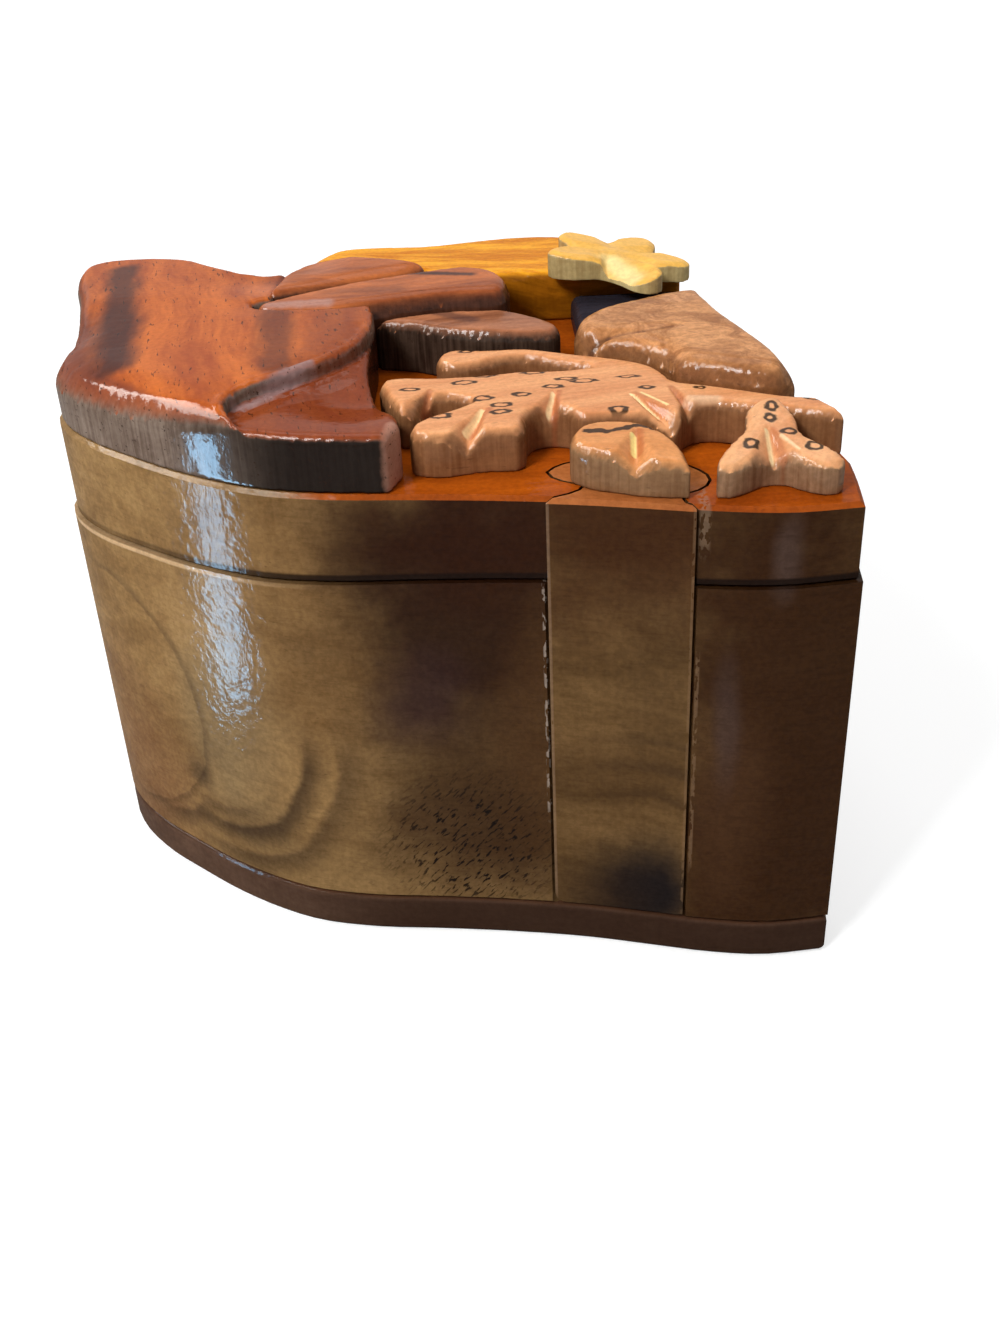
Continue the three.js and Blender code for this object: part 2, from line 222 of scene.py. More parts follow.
    def stroke_distance(self, where: Socket, start: Point, end: Point) -> Socket:
        """Gives the distance in plan to a straight stroke.

        Args:
            where: The place on the piece, in millimetres.
            start: Where the stroke starts.
            end: Where it ends.

        Returns:
            The distance in millimetres.
        """
        run = (end[0] - start[0], end[1] - start[1])
        square = run[0] ** 2 + run[1] ** 2
        from_start = self.vector("SUBTRACT", self.scaled(where, (1.0, 1.0, 0.0)), (*start, 0.0))
        along = self.vector("DOT_PRODUCT", from_start, (run[0] / square, run[1] / square, 0.0))
        along = self.math("ADD", along, clamp=True)
        nearest = self.scaled(self.add("CombineXYZ", {0: along, 1: along}), (*run, 0.0))
        return self.vector("DISTANCE", from_start, nearest)

    def finish(self, shader: Socket) -> None:
        """Links the shader to the output."""
        self.tree.links.new(shader, self.output.inputs["Surface"])


@dataclass(frozen=True)
class Band:
    """A streak of another colour in plan between two points, in millimetres: some are streaks in the wood,
    some painted highlights and painted shade.
    """

    start: Point
    end: Point
    half_width: float
    strength: float
    colour: Colour
    on_walls: bool = True

    def mask(self, g: Graph, where: Socket, up: Socket) -> Socket:
        """Gives how strongly the streak shows at a place: its edge is ragged.

        Args:
            g: The material's graph.
            where: The place on the piece, in millimetres.
            up: 1 where the surface faces up.

        Returns:
            The streak's share of the colour.
        """
        ragged = g.less(g.noise(g.scaled(where, (1.0, 0.25, 1.0)), 0.3, detail=4, rough=0.6), 0.5)
        away = g.stroke_distance(where, self.start, self.end)
        away = g.plus(away, g.times(ragged, 1.5 * self.half_width))
        share = g.smooth(away, 1.45 * self.half_width, 0.3 * self.half_width, 0.0, self.strength)
        return share if self.on_walls else g.times(share, up)


@dataclass(frozen=True)
class Burn:
    """A burnt ring in plan: its middle and its half-lengths along X and Y, in millimetres."""

    x: float
    y: float
    half_x: float
    half_y: float

    def distance(self, g: Graph, where: Socket) -> Socket:
        """Gives the distance to the ring's line.

        Args:
            g: The material's graph.
            where: The place on the piece, in millimetres.

        Returns:
            The distance in millimetres.
        """
        middle = (-self.x / self.half_x, -self.y / self.half_y, 0.0)
        out = g.vector("MULTIPLY_ADD", where, (1 / self.half_x, 1 / self.half_y, 0.0), middle)
        off_line = g.math("ABSOLUTE", g.less(g.vector("LENGTH", out), 1.0))
        return g.times(off_line, 0.5 * (self.half_x + self.half_y))


@dataclass(frozen=True)
class Shade:
    """How a wall darkens from one place along X to another, below a height, in millimetres: partly the wood's
    darker tone, partly painted shade where less light reaches.
    """

    start: float
    end: float
    below: float
    strength: float
    colour: Colour

    def mask(self, g: Graph, where: Socket, up: Socket) -> Socket:
        """Gives how strongly the shade shows at a place.

        Args:
            g: The material's graph.
            where: The place on the piece, in millimetres.
            up: 1 where the surface faces up.

        Returns:
            The shade's share of the colour.
        """
        dark = g.smooth(g.axis(where, "X"), self.start, self.end, 0.0, self.strength)
        low = g.smooth(g.axis(where, "Z"), self.below + 0.4, self.below - 0.4)
        return g.times(dark, low, g.less(1.0, up))


class Figure(Enum):
    """How a wood's growth lines run: how far they stray in millimetres, and how often per millimetre."""

    STRAIGHT = (1.2, 0.03)
    WAVY = (4.5, 0.045)
    BURL = (9.0, 0.11)


@dataclass(frozen=True)
class Wood:
    """A lacquered wood: its colours on upward faces and on walls, its figure, its marks and its lacquer."""

    name: str
    face_light: Colour
    face_dark: Colour
    side_light: Colour
    side_dark: Colour
    figure: Figure = Figure.WAVY
    grain_degrees: float = 0.0
    streak_mm: float = 2.6
    contrast: float = 1.0
    pores: float = 0.25
    saw_lines: float = 0.35
    mottle: float = 0.22
    roughness: float = 0.45
    coat: float = 0.3
    coat_roughness: float = 0.12
    coat_ior: float = 1.4
    ripple: float = 0.4
    shade: Shade | None = None
    low_face: tuple[float, Colour] | None = None
    bands: tuple[Band, ...] = ()
    burns: tuple[Burn, ...] = ()
    strokes: tuple[Stroke, ...] = ()
    stroke_extra_mm: float = 0.2
    tooled: tuple[Stroke, ...] = ()
    burnt: Colour = srgb(38, 26, 14)
    pore: Colour = srgb(40, 22, 12)
    speckle_tint: Colour = (0.42, 0.4, 0.38)
    grain_depth_mm: float = 0.12
    lacquer_depth_mm: float = 0.35

    def upward(self, g: Graph, where: Socket) -> Socket:
        """Gives 1 where the face colours show and 0 where the wall's do."""
        return g.facing_up()

    def streaks(self, g: Graph, where: Socket) -> Socket:
        """Gives the growth lines, from dark at 0 to light at 1.

        Args:
            g: The material's graph.
            where: The place on the piece, in millimetres.

        Returns:
            The lightness of the lines.
        """
        stray_mm, stray_scale = self.figure.value
        bent = g.vector("MULTIPLY_ADD", g.stray(where, stray_scale, detail=2), (2 * stray_mm,) * 3, where)
        along = g.turned(bent, self.grain_degrees, (0.12, 1.0, 1.0))
        broad = g.noise(along, 0.45 / self.streak_mm, rough=0.55)
        fine = g.noise(along, 2.4 / self.streak_mm, detail=4, rough=0.6)
        half = 0.2 / self.contrast
        return g.smooth(g.plus(g.times(broad, 0.65), g.times(fine, 0.35)), 0.5 - half, 0.5 + half)

    def pore_mask(self, g: Graph, where: Socket) -> Socket:
        """Gives 1 in the short dark pores that lie along the grain."""
        along = g.turned(where, self.grain_degrees, (0.5, 2.6, 2.6))
        return g.smooth(g.noise(along, 0.9, detail=2), 0.72 - 0.14 * self.pores, 0.78 - 0.1 * self.pores)

    def wall_lines(self, g: Graph, where: Socket) -> Socket:
        """Gives the upright lines that the saw leaves on walls."""
        return g.noise(g.scaled(where, (2.0, 2.0, 0.12)), 1.0, detail=2)

    def marks(self, g: Graph, colour: Socket, where: Socket, up: Socket) -> Socket:
        """Adds the darker end of the walls, partly painted shade, the low step's colour, the streaks with
        their painted highlights and shades, and what is burnt in.

        Args:
            g: The material's graph.
            colour: The wood's colour so far.
            where: The place on the piece, in millimetres.
            up: 1 where the surface faces up.

        Returns:
            The marked colour.
        """
        if self.shade:
            colour = g.mix(self.shade.mask(g, where, up), colour, self.shade.colour)
        if self.low_face:
            level, low_colour = self.low_face
            low = g.smooth(g.axis(where, "Z"), level + 0.3, level - 0.3)
            colour = g.mix(g.times(low, up, 0.75), colour, low_colour)
        for band in self.bands:
            colour = g.mix(band.mask(g, where, up), colour, band.colour)
        if self.burns or self.strokes:
            burnt = g.smooth(self.burn_distance(g, where), 0.37, 0.13)
            colour = g.mix(g.times(burnt, up, 0.93), colour, self.burnt)
        return colour

    def burn_distance(self, g: Graph, where: Socket) -> Socket:
        """Gives the distance to the nearest burnt line, in millimetres: the lines shake a little.

        Args:
            g: The material's graph.
            where: The place on the piece, in millimetres.

        Returns:
            The distance in millimetres.
        """
        where = g.vector("MULTIPLY_ADD", g.stray(where, 0.9, detail=1), (0.9, 0.9, 0.0), where)
        lines = [burn.distance(g, where) for burn in self.burns]
        lines += [g.less(g.stroke_distance(where, *stroke), self.stroke_extra_mm) for stroke in self.strokes]
        nearest: object = 9.0
        for line in lines:
            nearest = g.math("MINIMUM", nearest, line)
        return nearest

    def rippled(self, g: Graph, where: Socket) -> Socket:
        """Gives the lacquer's skin: long soft waves, fine grit, and facets over tooled places.

        Args:
            g: The material's graph.
            where: The place on the piece, in millimetres.

        Returns:
            The height of the skin, for its bump.
        """
        waves, grit = g.noise(where, 0.8, detail=1), g.noise(where, 3.2, detail=1)
        skin = g.plus(g.times(waves, 0.5), g.times(grit, 0.13))
        for stroke in self.tooled:
            near = g.smooth(g.stroke_distance(where, *stroke), 2.2, 0.8)
            skin = g.plus(skin, g.times(g.noise(where, 1.1, detail=1, rough=0.4), near, 2.0))
        return skin

    def material(self) -> bpy.types.Material:
        """Builds the wood under its lacquer.

        Returns:
            The material.
        """
        material = bpy.data.materials.new(self.name)
        g = Graph(material)
        where = g.millimetres()
        up, streaks, lines = self.upward(g, where), self.streaks(g, where), self.wall_lines(g, where)
        face = g.mix(streaks, self.face_dark, self.face_light)
        lined = g.times(g.smooth(lines, 0.2, 0.8), self.saw_lines)
        wall = g.plus(g.times(streaks, 1 - self.saw_lines), lined)
        colour = g.mix(up, g.mix(wall, self.side_dark, self.side_light), face)
        colour = self.marks(g, colour, where, up)
        speckle = g.smooth(g.noise(where, 1.5, rough=0.65), 0.35, 0.65, self.mottle, 0.0)
        colour = g.mix(speckle, colour, self.speckle_tint, "MULTIPLY")
        pores = self.pore_mask(g, where)
        colour = g.mix(g.times(pores, 0.75 * min(1.0, self.pores * 2)), colour, self.pore)
        grain = g.plus(g.times(streaks, 0.3), g.times(lines, 0.7 * self.saw_lines))
        grain = g.less(grain, g.times(pores, 0.8))
        skin = self.rippled(g, where)
        under = {"Height": grain, "Strength": 0.25, "Distance": self.grain_depth_mm * MM}
        over = {"Height": skin, "Strength": self.ripple, "Distance": self.lacquer_depth_mm * MM}
        inputs = {
            "Base Color": colour,
            "Roughness": self.roughness,
            "Specular IOR Level": 0.0,
            "Coat Weight": self.coat,
            "Coat Roughness": self.coat_roughness,
            "Coat IOR": self.coat_ior,
            "Normal": g.add("Bump", under),
            "Coat Normal": g.add("Bump", over),
        }
        g.finish(g.add("BsdfPrincipled", inputs))
        return material


@dataclass(frozen=True)
class SpottedWood(Wood):
    """The pale wood with burnt rings that the coral, its fork and the key's carving are cut from."""

    figure: Figure = Figure.STRAIGHT
    streak_mm: float = 1.3
    contrast: float = 0.7
    pores: float = 0.2
    saw_lines: float = 0.5


@dataclass(frozen=True)
class Cloud:
    """A soft patch of another colour on a wall, some a tone of the wood, some painted sheen and shade: its
    middle and its reach along and up, in millimetres.
    """

    along: float
    height: float
    reach_along: float
    reach_up: float
    strength: float
    colour: Colour

    def mask(self, g: Graph, flat: Socket, stray: Socket) -> Socket:
        """Gives how strongly the patch shows at a place on the wall.

        Args:
            g: The material's graph.
            flat: The place along and up the front, in millimetres.
            stray: A vector that strays round zero.

        Returns:
            The patch's share of the colour.
        """
        away = g.vector("SUBTRACT", flat, (self.along, self.height, 0.0))
        away = g.scaled(away, (1 / self.reach_along, 1 / self.reach_up, 0.0))
        away = g.vector("LENGTH", g.vector("MULTIPLY_ADD", stray, (1.7, 1.7, 0.0), away))
        return g.smooth(away, 1.55, 0.3, 0.0, self.strength)


@dataclass(frozen=True)
class Arc:
    """A dark growth ring on the front: its middle, radius and width, and the height where it ends."""

    along: float
    height: float
    radius: float
    width: float
    strength: float
    top: float

    def mask(self, g: Graph, flat: Socket, height: Socket) -> Socket:
        """Gives how strongly the ring shows at a place: sharp inside, soft outside, gone at the left.

        Args:
            g: The material's graph.
            flat: The place along and up the front, in millimetres.
            height: The place's height, in millimetres.

        Returns:
            The ring's share of the colour.
        """
        off = g.less(g.vector("DISTANCE", flat, (self.along, self.height, 0.0)), self.radius)
        inner = g.smooth(off, -0.45 * self.width, 0.0, 0.0, self.strength)
        outer = g.smooth(off, 1.4 * self.width, 0.0)
        right = g.smooth(g.axis(flat, "X"), self.along - 9.0, self.along + 5.0)
        return g.times(inner, outer, right, g.smooth(height, self.top + 3.0, self.top - 6.0))


@dataclass(frozen=True)
class WearAndEdgeHighlight:
    """Pale marks along an upright edge of the front, partly worn edges and chips, partly painted edge
    highlights: its place, half-width and heights in millimetres.
    """

    x: float
    half_width: float
    low: float
    high: float
    share: float
    strength: float
    colour: Colour

    def mask(self, g: Graph, where: Socket, height: Socket) -> Socket:
        """Gives how strongly the marks show at a place: worn spots and painted edge highlight, broken up
        along the edge.

        Args:
            g: The material's graph.
            where: The place on the piece, in millimetres.
            height: The place's height, in millimetres.

        Returns:
            The share of the colour of the worn spots and painted edge highlight.
        """
        off = g.math("ABSOLUTE", g.less(g.axis(where, "X"), self.x))
        near = g.smooth(off, self.half_width, 0.4 * self.half_width, 0.0, self.strength)
        front = g.smooth(g.axis(where, "Y"), -36.0, -37.0)
        broken = g.noise(g.scaled(where, (1.0, 1.0, 0.45)), 1.4, detail=2, rough=0.6)
        broken = g.smooth(broken, 0.74 - 0.5 * self.share, 0.78 - 0.5 * self.share)
        low = g.smooth(height, self.low - 2.0, self.low + 2.0)
        return g.times(near, front, broken, low, g.smooth(height, self.high + 1.0, self.high - 1.0))


@dataclass(frozen=True)
class BlockWood(Wood):
    """The block that wall, lid and key are sawn from: clouded, with painted sheen and shade among the clouds,
    a swirl and a pored patch in front.
    """

    contrast: float = 0.8
    mottle: float = 0.32
    coat: float = 0.2
    clouds: tuple[Cloud, ...] = ()
    arcs: tuple[Arc, ...] = ()
    wear_and_edge_highlights: tuple[WearAndEdgeHighlight, ...] = ()
    top_level: float = 61.2
    parting_level: float = 50.9
    parting_slope: Place = (-0.025, 0.03, 1.0)
    front_run: Place = (0.833, -0.554, 0.0)
    patch_strength: float = 1.0
    patch_middle: Place = (25.0, 13.0, 0.0)
    patch_colour: Colour = srgb(24, 16, 10)
    ring_colour: Colour = srgb(46, 32, 24)
    fibre_tint: Colour = (0.5, 0.46, 0.42)
    lip_highlight_colour: Colour = srgb(226, 190, 146)
    cut_colour: Colour = srgb(26, 14, 8)

    def upward(self, g: Graph, where: Socket) -> Socket:
        """Gives 1 on the lid's open top, and 0 on walls, in the saw cut and on the ledge at the left."""
        top = g.smooth(g.axis(where, "Z"), self.top_level - 0.2, self.top_level + 0.3)
        return g.times(g.facing_up(), top, g.smooth(g.axis(where, "X"), -16.0, -8.0))

    def marks(self, g: Graph, colour: Socket, where: Socket, up: Socket) -> Socket:
        """Adds the clouds, some of them painted sheen and shade, the growth rings, the pored patch, the
        fibres, the worn spots with painted edge highlights and the dark saw cut with a painted highlight
        below it.

        Args:
            g: The material's graph.
            colour: The wood's colour so far.
            where: The place on the piece, in millimetres.
            up: 1 where the surface faces up.

        Returns:
            The marked colour.
        """
        height = g.axis(where, "Z")
        wall = g.less(1.0, up)
        front = g.times(g.smooth(g.axis(where, "Y"), 0.0, -6.0), wall)
        flat = g.add("CombineXYZ", {0: g.vector("DOT_PRODUCT", where, self.front_run), 1: height})
        stray = g.stray(where, 0.06, detail=5, rough=0.6)
        for cloud in self.clouds:
            colour = g.mix(g.times(cloud.mask(g, flat, stray), wall), colour, cloud.colour)
        bent = g.vector("MULTIPLY_ADD", stray, (5.0, 5.0, 0.0), flat)
        for arc in self.arcs:
            colour = g.mix(g.times(arc.mask(g, bent, height), front), colour, self.ring_colour)
        colour = g.mix(g.times(self.patch(g, flat), front), colour, self.patch_colour)
        fibres = g.noise(g.scaled(where, (0.4, 0.4, 2.6)), 1.0, rough=0.65)
        fibres = g.times(g.smooth(fibres, 0.5, 0.32, 0.0, 0.26), wall)
        colour = g.mix(fibres, colour, self.fibre_tint, "MULTIPLY")
        for wear_and_edge_highlights in self.wear_and_edge_highlights:
            colour = g.mix(wear_and_edge_highlights.mask(g, where, height), colour, wear_and_edge_highlights.colour)
        return self.saw_cut(g, colour, where)

    def patch(self, g: Graph, flat: Socket) -> Socket:
        """Gives the short dark pores left of the key, low on the front.

        Args:
            g: The material's graph.
            flat: The place along and up the front, in millimetres.

        Returns:
            The pores' share of the colour.
        """
        near = g.smooth(g.vector("DISTANCE", g.scaled(flat, (1.0, 0.9, 0.0)), self.patch_middle), 13.0, 5.0)
        dots = g.noise(g.turned(flat, 52.0, (0.7, 2.6, 1.0)), 1.0, detail=2, rough=0.55, warp=0.3)
        return g.times(g.smooth(dots, 0.54, 0.64, 0.0, self.patch_strength), near)

    def saw_cut(self, g: Graph, colour: Socket, where: Socket) -> Socket:
        """Darkens both sides of the cut between wall and lid, and paints a pale highlight on the wall's eased
        top edge below the cut at the left.

        Args:
            g: The material's graph.
            colour: The wood's colour so far.
            where: The place on the piece, in millimetres.

        Returns:
            The colour with the cut.
        """
        above = g.less(g.vector("DOT_PRODUCT", where, self.parting_slope), self.parting_level)
        place = g.axis(where, "X")
        # Painted highlight along the wall's eased top edge, just below the cut, at the left.
        lip_highlight = g.smooth(g.math("ABSOLUTE", g.plus(above, 0.8)), 0.45, 0.15, 0.0, 0.75)
        colour = g.mix(g.times(lip_highlight, g.smooth(place, -8.0, -34.0)), colour, self.lip_highlight_colour)
        cut = g.smooth(g.math("ABSOLUTE", above), 0.7, 0.3)
        return g.mix(g.times(cut, g.smooth(place, -42.0, -10.0, 0.35, 0.92)), colour, self.cut_colour)


BASE_WOOD = Wood(
    "dark_base_board", srgb(92, 62, 44), srgb(58, 38, 26), srgb(108, 82, 66), srgb(74, 52, 40),
    figure=Figure.STRAIGHT, streak_mm=2.2, contrast=0.6, pores=0.15, saw_lines=0.15,
    shade=Shade(-34, 0, 20, 0.8, srgb(48, 30, 20)), coat=0.12,
)
BLOCK_WOOD = BlockWood(
    "olive_brown_block", srgb(188, 90, 16), srgb(134, 56, 10), srgb(172, 136, 88), srgb(120, 88, 50),
    streak_mm=4.5, pores=0.2, saw_lines=0.12, ripple=0.6,
    clouds=(
        Cloud(-26, 14, 12, 14, 0.45, srgb(120, 76, 50)), Cloud(-4, 30, 8, 16, 0.35, srgb(132, 120, 92)),
        Cloud(8, 44, 9, 22, 0.4, srgb(92, 60, 30)), Cloud(25, 46, 15, 25, 0.95, srgb(40, 20, 11)),
        Cloud(20, 36, 6, 7, 0.5, srgb(56, 36, 38)), Cloud(34, 58, 22, 9, 0.9, srgb(46, 20, 7)),
        Cloud(27, 18, 14, 9, 0.75, srgb(56, 36, 20)), Cloud(24, 11, 12, 10, 0.6, srgb(66, 44, 26)),
        Cloud(2, 8, 14, 8, 0.35, srgb(100, 78, 50)), Cloud(34, 32, 5, 14, 0.4, srgb(92, 60, 32)),
        # The first cloud on this line, wide and dark at the right, is partly darker wood and partly painted
        # shade.
        Cloud(64, 30, 30, 90, 0.96, srgb(50, 25, 8)), Cloud(54, 24, 4, 14, 0.5, srgb(84, 56, 34)),
        # Painted sheen: faint grey sheens on the front right of the key and on the lid.
        Cloud(53.4, 35, 1.5, 9, 0.32, srgb(84, 70, 68)), Cloud(58.2, 56, 1.3, 4.5, 0.32, srgb(104, 86, 80)),
    ),
    mottle=0.32,
    wear_and_edge_highlights=(
        # Pale marks by the key's seams: partly chips and worn edges, partly painted edge highlights.
        WearAndEdgeHighlight(31.7, 0.3, 14, 44, 0.6, 0.4, srgb(140, 110, 82)),
        WearAndEdgeHighlight(32, 0.8, 57, 63, 0.55, 0.4, srgb(150, 124, 100)),
        WearAndEdgeHighlight(14.95, 0.35, 20, 52, 0.42, 0.6, srgb(176, 160, 146)),
    ),
    arcs=(
        Arc(-9.5, 27.5, 16.2, 2.6, 0.75, 30), Arc(-9.5, 27.5, 20.6, 3, 0.55, 30),
        Arc(-9.5, 27.5, 13.2, 1.8, 0.35, 20), Arc(-20, 20, 11, 2.4, 0.6, 15),
        Arc(-12, 18.9, 0.4, 2.8, 0.8, 24), Arc(-27, 27, 18, 1, 0.34, 60),
    ),
)
KEY_WOOD = BlockWood(
    "olive_brown_key", srgb(196, 120, 64), srgb(150, 82, 40), srgb(132, 100, 62), srgb(84, 60, 32),
    streak_mm=4, pores=0.1, saw_lines=0.1, parting_level=-20, patch_strength=0,
    clouds=(
        Cloud(42, 62, 18, 16, 0.85, srgb(58, 28, 10)), Cloud(45, 8, 7, 8, 0.98, srgb(22, 19, 22)),
        Cloud(40, 26, 16, 5, 0.45, srgb(64, 40, 18)), Cloud(47, 40, 5, 14, 0.4, srgb(70, 48, 26)),
        Cloud(37, 7, 8, 6, 0.5, srgb(62, 42, 24)),
    ),
    mottle=0.32,
    wear_and_edge_highlights=(
        # Painted highlights along the key's two upright edges.
        WearAndEdgeHighlight(15.45, 0.3, 7, 62, 0.95, 0.45, srgb(150, 120, 94)),
        WearAndEdgeHighlight(30.95, 0.28, 7, 62, 0.7, 0.35, srgb(140, 108, 78)),
    ),
    arcs=(
        Arc(43.5, 12, 11.5, 1.2, 0.3, 60), Arc(43.5, 12, 15.5, 1.5, 0.34, 60),
        Arc(43.5, 12, 19.5, 1.3, 0.26, 60),
    ),
)
DOWEL_WOOD = Wood(
    "bare_dowel", srgb(214, 178, 126), srgb(186, 146, 96), srgb(206, 168, 116), srgb(178, 138, 90),
    figure=Figure.STRAIGHT, streak_mm=0.8, contrast=0.6, pores=0.1, saw_lines=0.5, roughness=0.7, coat=0,
)
ANIMAL_WOOD = Wood(
    "red_brown_wood", srgb(204, 106, 38), srgb(156, 68, 20), srgb(142, 124, 110), srgb(84, 64, 52),
    grain_degrees=-80, streak_mm=1.9, contrast=0.9, pores=0.6, saw_lines=0.6, ripple=0.25,
    # Partly painted shade: the animal's front wall darkens towards its right end.
    shade=Shade(-30, -12, 69, 0.95, srgb(18, 8, 4)),
    low_face=(69.9, srgb(112, 50, 32)),
    tooled=(
        ((-19.4, -27.2), (-12.2, -18.6)), ((-12.2, -18.6), (-5.8, -9.4)), ((-5.8, -9.4), (-4.6, -4.2)),
    ),
    bands=(
        Band((-52, 20), (-42, -8), 6.5, 0.65, srgb(116, 58, 36), False),
        Band((-8.5, 8), (-9, -14), 4.5, 0.6, srgb(126, 58, 30)),
        Band((-42, 28), (-34.5, -13), 2.4, 0.85, srgb(60, 26, 20)),
        Band((-39, 8), (-35.6, -12), 3.6, 0.6, srgb(66, 30, 22)),
        Band((-17.6, 6), (-15.2, -17), 2.6, 0.7, srgb(86, 38, 22)),
        # Painted glints on the carved wall between the upper level and the step.
        Band((-18.7, -25.5), (-11.1, -16.5), 0.6, 0.75, srgb(152, 124, 122)),
        # Painted light on the animal's right end face.
        Band((-1.4, -37.5), (-0.6, -31.8), 0.9, 0.9, srgb(178, 126, 104)),
    ),
)
SNOUT_WOOD = Wood(
    "streaked_red_brown_wood", srgb(200, 112, 58), srgb(134, 66, 34), srgb(96, 58, 42), srgb(46, 26, 16),
    grain_degrees=8, streak_mm=2.4, contrast=0.9, pores=0.3, saw_lines=0.4,
    bands=(
        Band((-1, 18.4), (8, 16.2), 0.9, 0.85, srgb(40, 24, 26)),
        Band((-14.8, 13.4), (-10.5, 14.4), 0.7, 0.9, srgb(36, 16, 10)),
        # Painted highlight on the lower snout's rounded tip.
        Band((-18.5, 7.6), (-11, 7), 1.1, 0.55, srgb(176, 142, 134)),
        Band((-11, 11), (-2, 10.8), 1.5, 0.5, srgb(118, 62, 38)),
    ),
)
FIN_WOOD = Wood(
    "rosy_brown_wood", srgb(180, 116, 80), srgb(124, 74, 50), srgb(84, 66, 54), srgb(30, 16, 10),
    grain_degrees=20, streak_mm=2, contrast=0.9, pores=0.3, saw_lines=0.7,
    bands=(Band((3, 7.6), (8, 3.6), 1.2, 0.6, srgb(70, 50, 50)),),
)
CORAL_BURNS = (
    Burn(9.4, -13.8, 1.25, 0.55), Burn(15.3, -13.6, 1.2, 0.5), Burn(17.4, -18.7, 1.05, 0.45),
    Burn(19.1, -16.3, 1.1, 0.45), Burn(21.2, -17.3, 1.45, 0.55), Burn(26.4, -16.5, 1.1, 0.4),
    Burn(28.2, -20.5, 0.65, 0.4), Burn(34.3, -21.2, 0.5, 0.35), Burn(9.1, -21.5, 1, 0.65),
    Burn(13.7, -20.8, 0.9, 0.6), Burn(11.2, -23.9, 1.15, 0.6), Burn(11, -26, 0.9, 0.6),
    Burn(4.1, -26.5, 1.2, 0.7), Burn(46.4, -26.3, 0.8, 0.5), Burn(6.9, -16, 1.2, 0.6),
    Burn(0.5, -17.5, 0.9, 0.5), Burn(7.3, -4.7, 0.9, 0.4), Burn(-0.7, -12.3, 0.7, 0.4),
    Burn(24.3, -26.8, 0.8, 0.7),
)
# Painted highlights and painted shade on the facets of the V cuts, a bright band and a dark band beside each
# cut; the last band paints a paler streak on the top.
CORAL_FACET_HIGHLIGHTS_AND_SHADES = (
    Band((9.8, -25), (8, -29.6), 0.5, 0.55, srgb(176, 92, 54)),
    Band((9, -25.2), (7, -29.8), 0.3, 0.75, srgb(255, 224, 166)),
    Band((18, -20.4), (17.2, -24.4), 0.5, 0.55, srgb(170, 88, 52)),
    Band((17.3, -20.6), (16.5, -24.2), 0.28, 0.75, srgb(255, 226, 170)),
    Band((26.6, -22), (29.4, -26.8), 0.5, 0.5, srgb(178, 96, 56)),
    Band((26.2, -22.4), (28.6, -27), 0.28, 0.85, srgb(255, 232, 172)),
    Band((27.4, -22), (29.9, -26.2), 0.22, 0.8, srgb(255, 226, 160)),
    Band((31, -20.6), (32.2, -25), 0.4, 0.55, srgb(160, 84, 50)),
    Band((2.9, -18), (2.1, -21), 0.4, 0.5, srgb(168, 90, 54)),
    Band((32.6, -24.4), (35.6, -24.8), 0.8, 0.5, srgb(232, 200, 164), False),
)
CORAL_WOOD = SpottedWood(
    "spotted_peach_wood", srgb(236, 170, 116), srgb(206, 132, 84), srgb(152, 106, 70), srgb(112, 70, 42),
    grain_degrees=12, burns=CORAL_BURNS, bands=CORAL_FACET_HIGHLIGHTS_AND_SHADES,
)
FORK_WOOD = SpottedWood(
    "spotted_peach_fork", srgb(238, 178, 126), srgb(208, 136, 88), srgb(166, 130, 98), srgb(104, 68, 44),
    grain_degrees=60,
    # Painted shade and painted highlights on the facets of the fork's V cut.
    bands=(
        Band((40.2, -34.2), (40.9, -37.8), 0.45, 0.5, srgb(176, 96, 58)),
        Band((39.6, -34.2), (39.6, -37.6), 0.28, 0.8, srgb(255, 230, 176)),
        Band((41, -35.4), (42.4, -38), 0.22, 0.6, srgb(252, 222, 176)),
    ),
    burns=(
        Burn(40.9, -29.9, 0.62, 0.75), Burn(40.3, -32.1, 0.6, 0.7), Burn(41.9, -34.8, 0.6, 0.5),
        Burn(37.5, -36.6, 0.7, 0.75), Burn(44.1, -37.6, 0.75, 0.7),
    ),
)
KEY_CARVING_WOOD = SpottedWood(
    "spotted_peach_key", srgb(228, 158, 98), srgb(196, 122, 68), srgb(156, 120, 86), srgb(112, 78, 50),
    grain_degrees=-10, streak_mm=1.2,
    # Painted shade and a painted highlight on the facets of the V notch.
    bands=(
        Band((26, -32.6), (25.7, -36.4), 0.5, 0.6, srgb(170, 88, 50)),
        Band((25.3, -33.4), (25, -36.6), 0.3, 0.85, srgb(255, 236, 150)),
    ),
    burns=(Burn(21.2, -32.3, 0.9, 0.4), Burn(28, -32.2, 0.75, 0.6)),
    strokes=(
        ((20.4, -32.1), (22.4, -32.6)), ((22.4, -32.6), (24.7, -31.9)), ((24.7, -31.9), (25.6, -31.2)),
        ((25.6, -31.2), (27.2, -31.9)),
    ),
)
ROCK_WOOD = Wood(
    "swirled_brown_wood", srgb(220, 156, 102), srgb(164, 106, 62), srgb(156, 106, 66), srgb(112, 70, 40),
    figure=Figure.BURL, grain_degrees=-50, streak_mm=1.5, contrast=1.1, pores=0.2, saw_lines=0.1,
    coat=0.28, coat_roughness=0.1, mottle=0.4,
    bands=(
        # The first two bands are painted shade along the crease.
        Band((19.5, -6.6), (25, -6), 0.4, 0.75, srgb(70, 34, 16)),
        Band((25, -6), (33, -5.6), 0.3, 0.5, srgb(90, 48, 26)),
        Band((31, -17), (42.5, -22.6), 1.8, 0.55, srgb(134, 84, 50)),
    ),
)
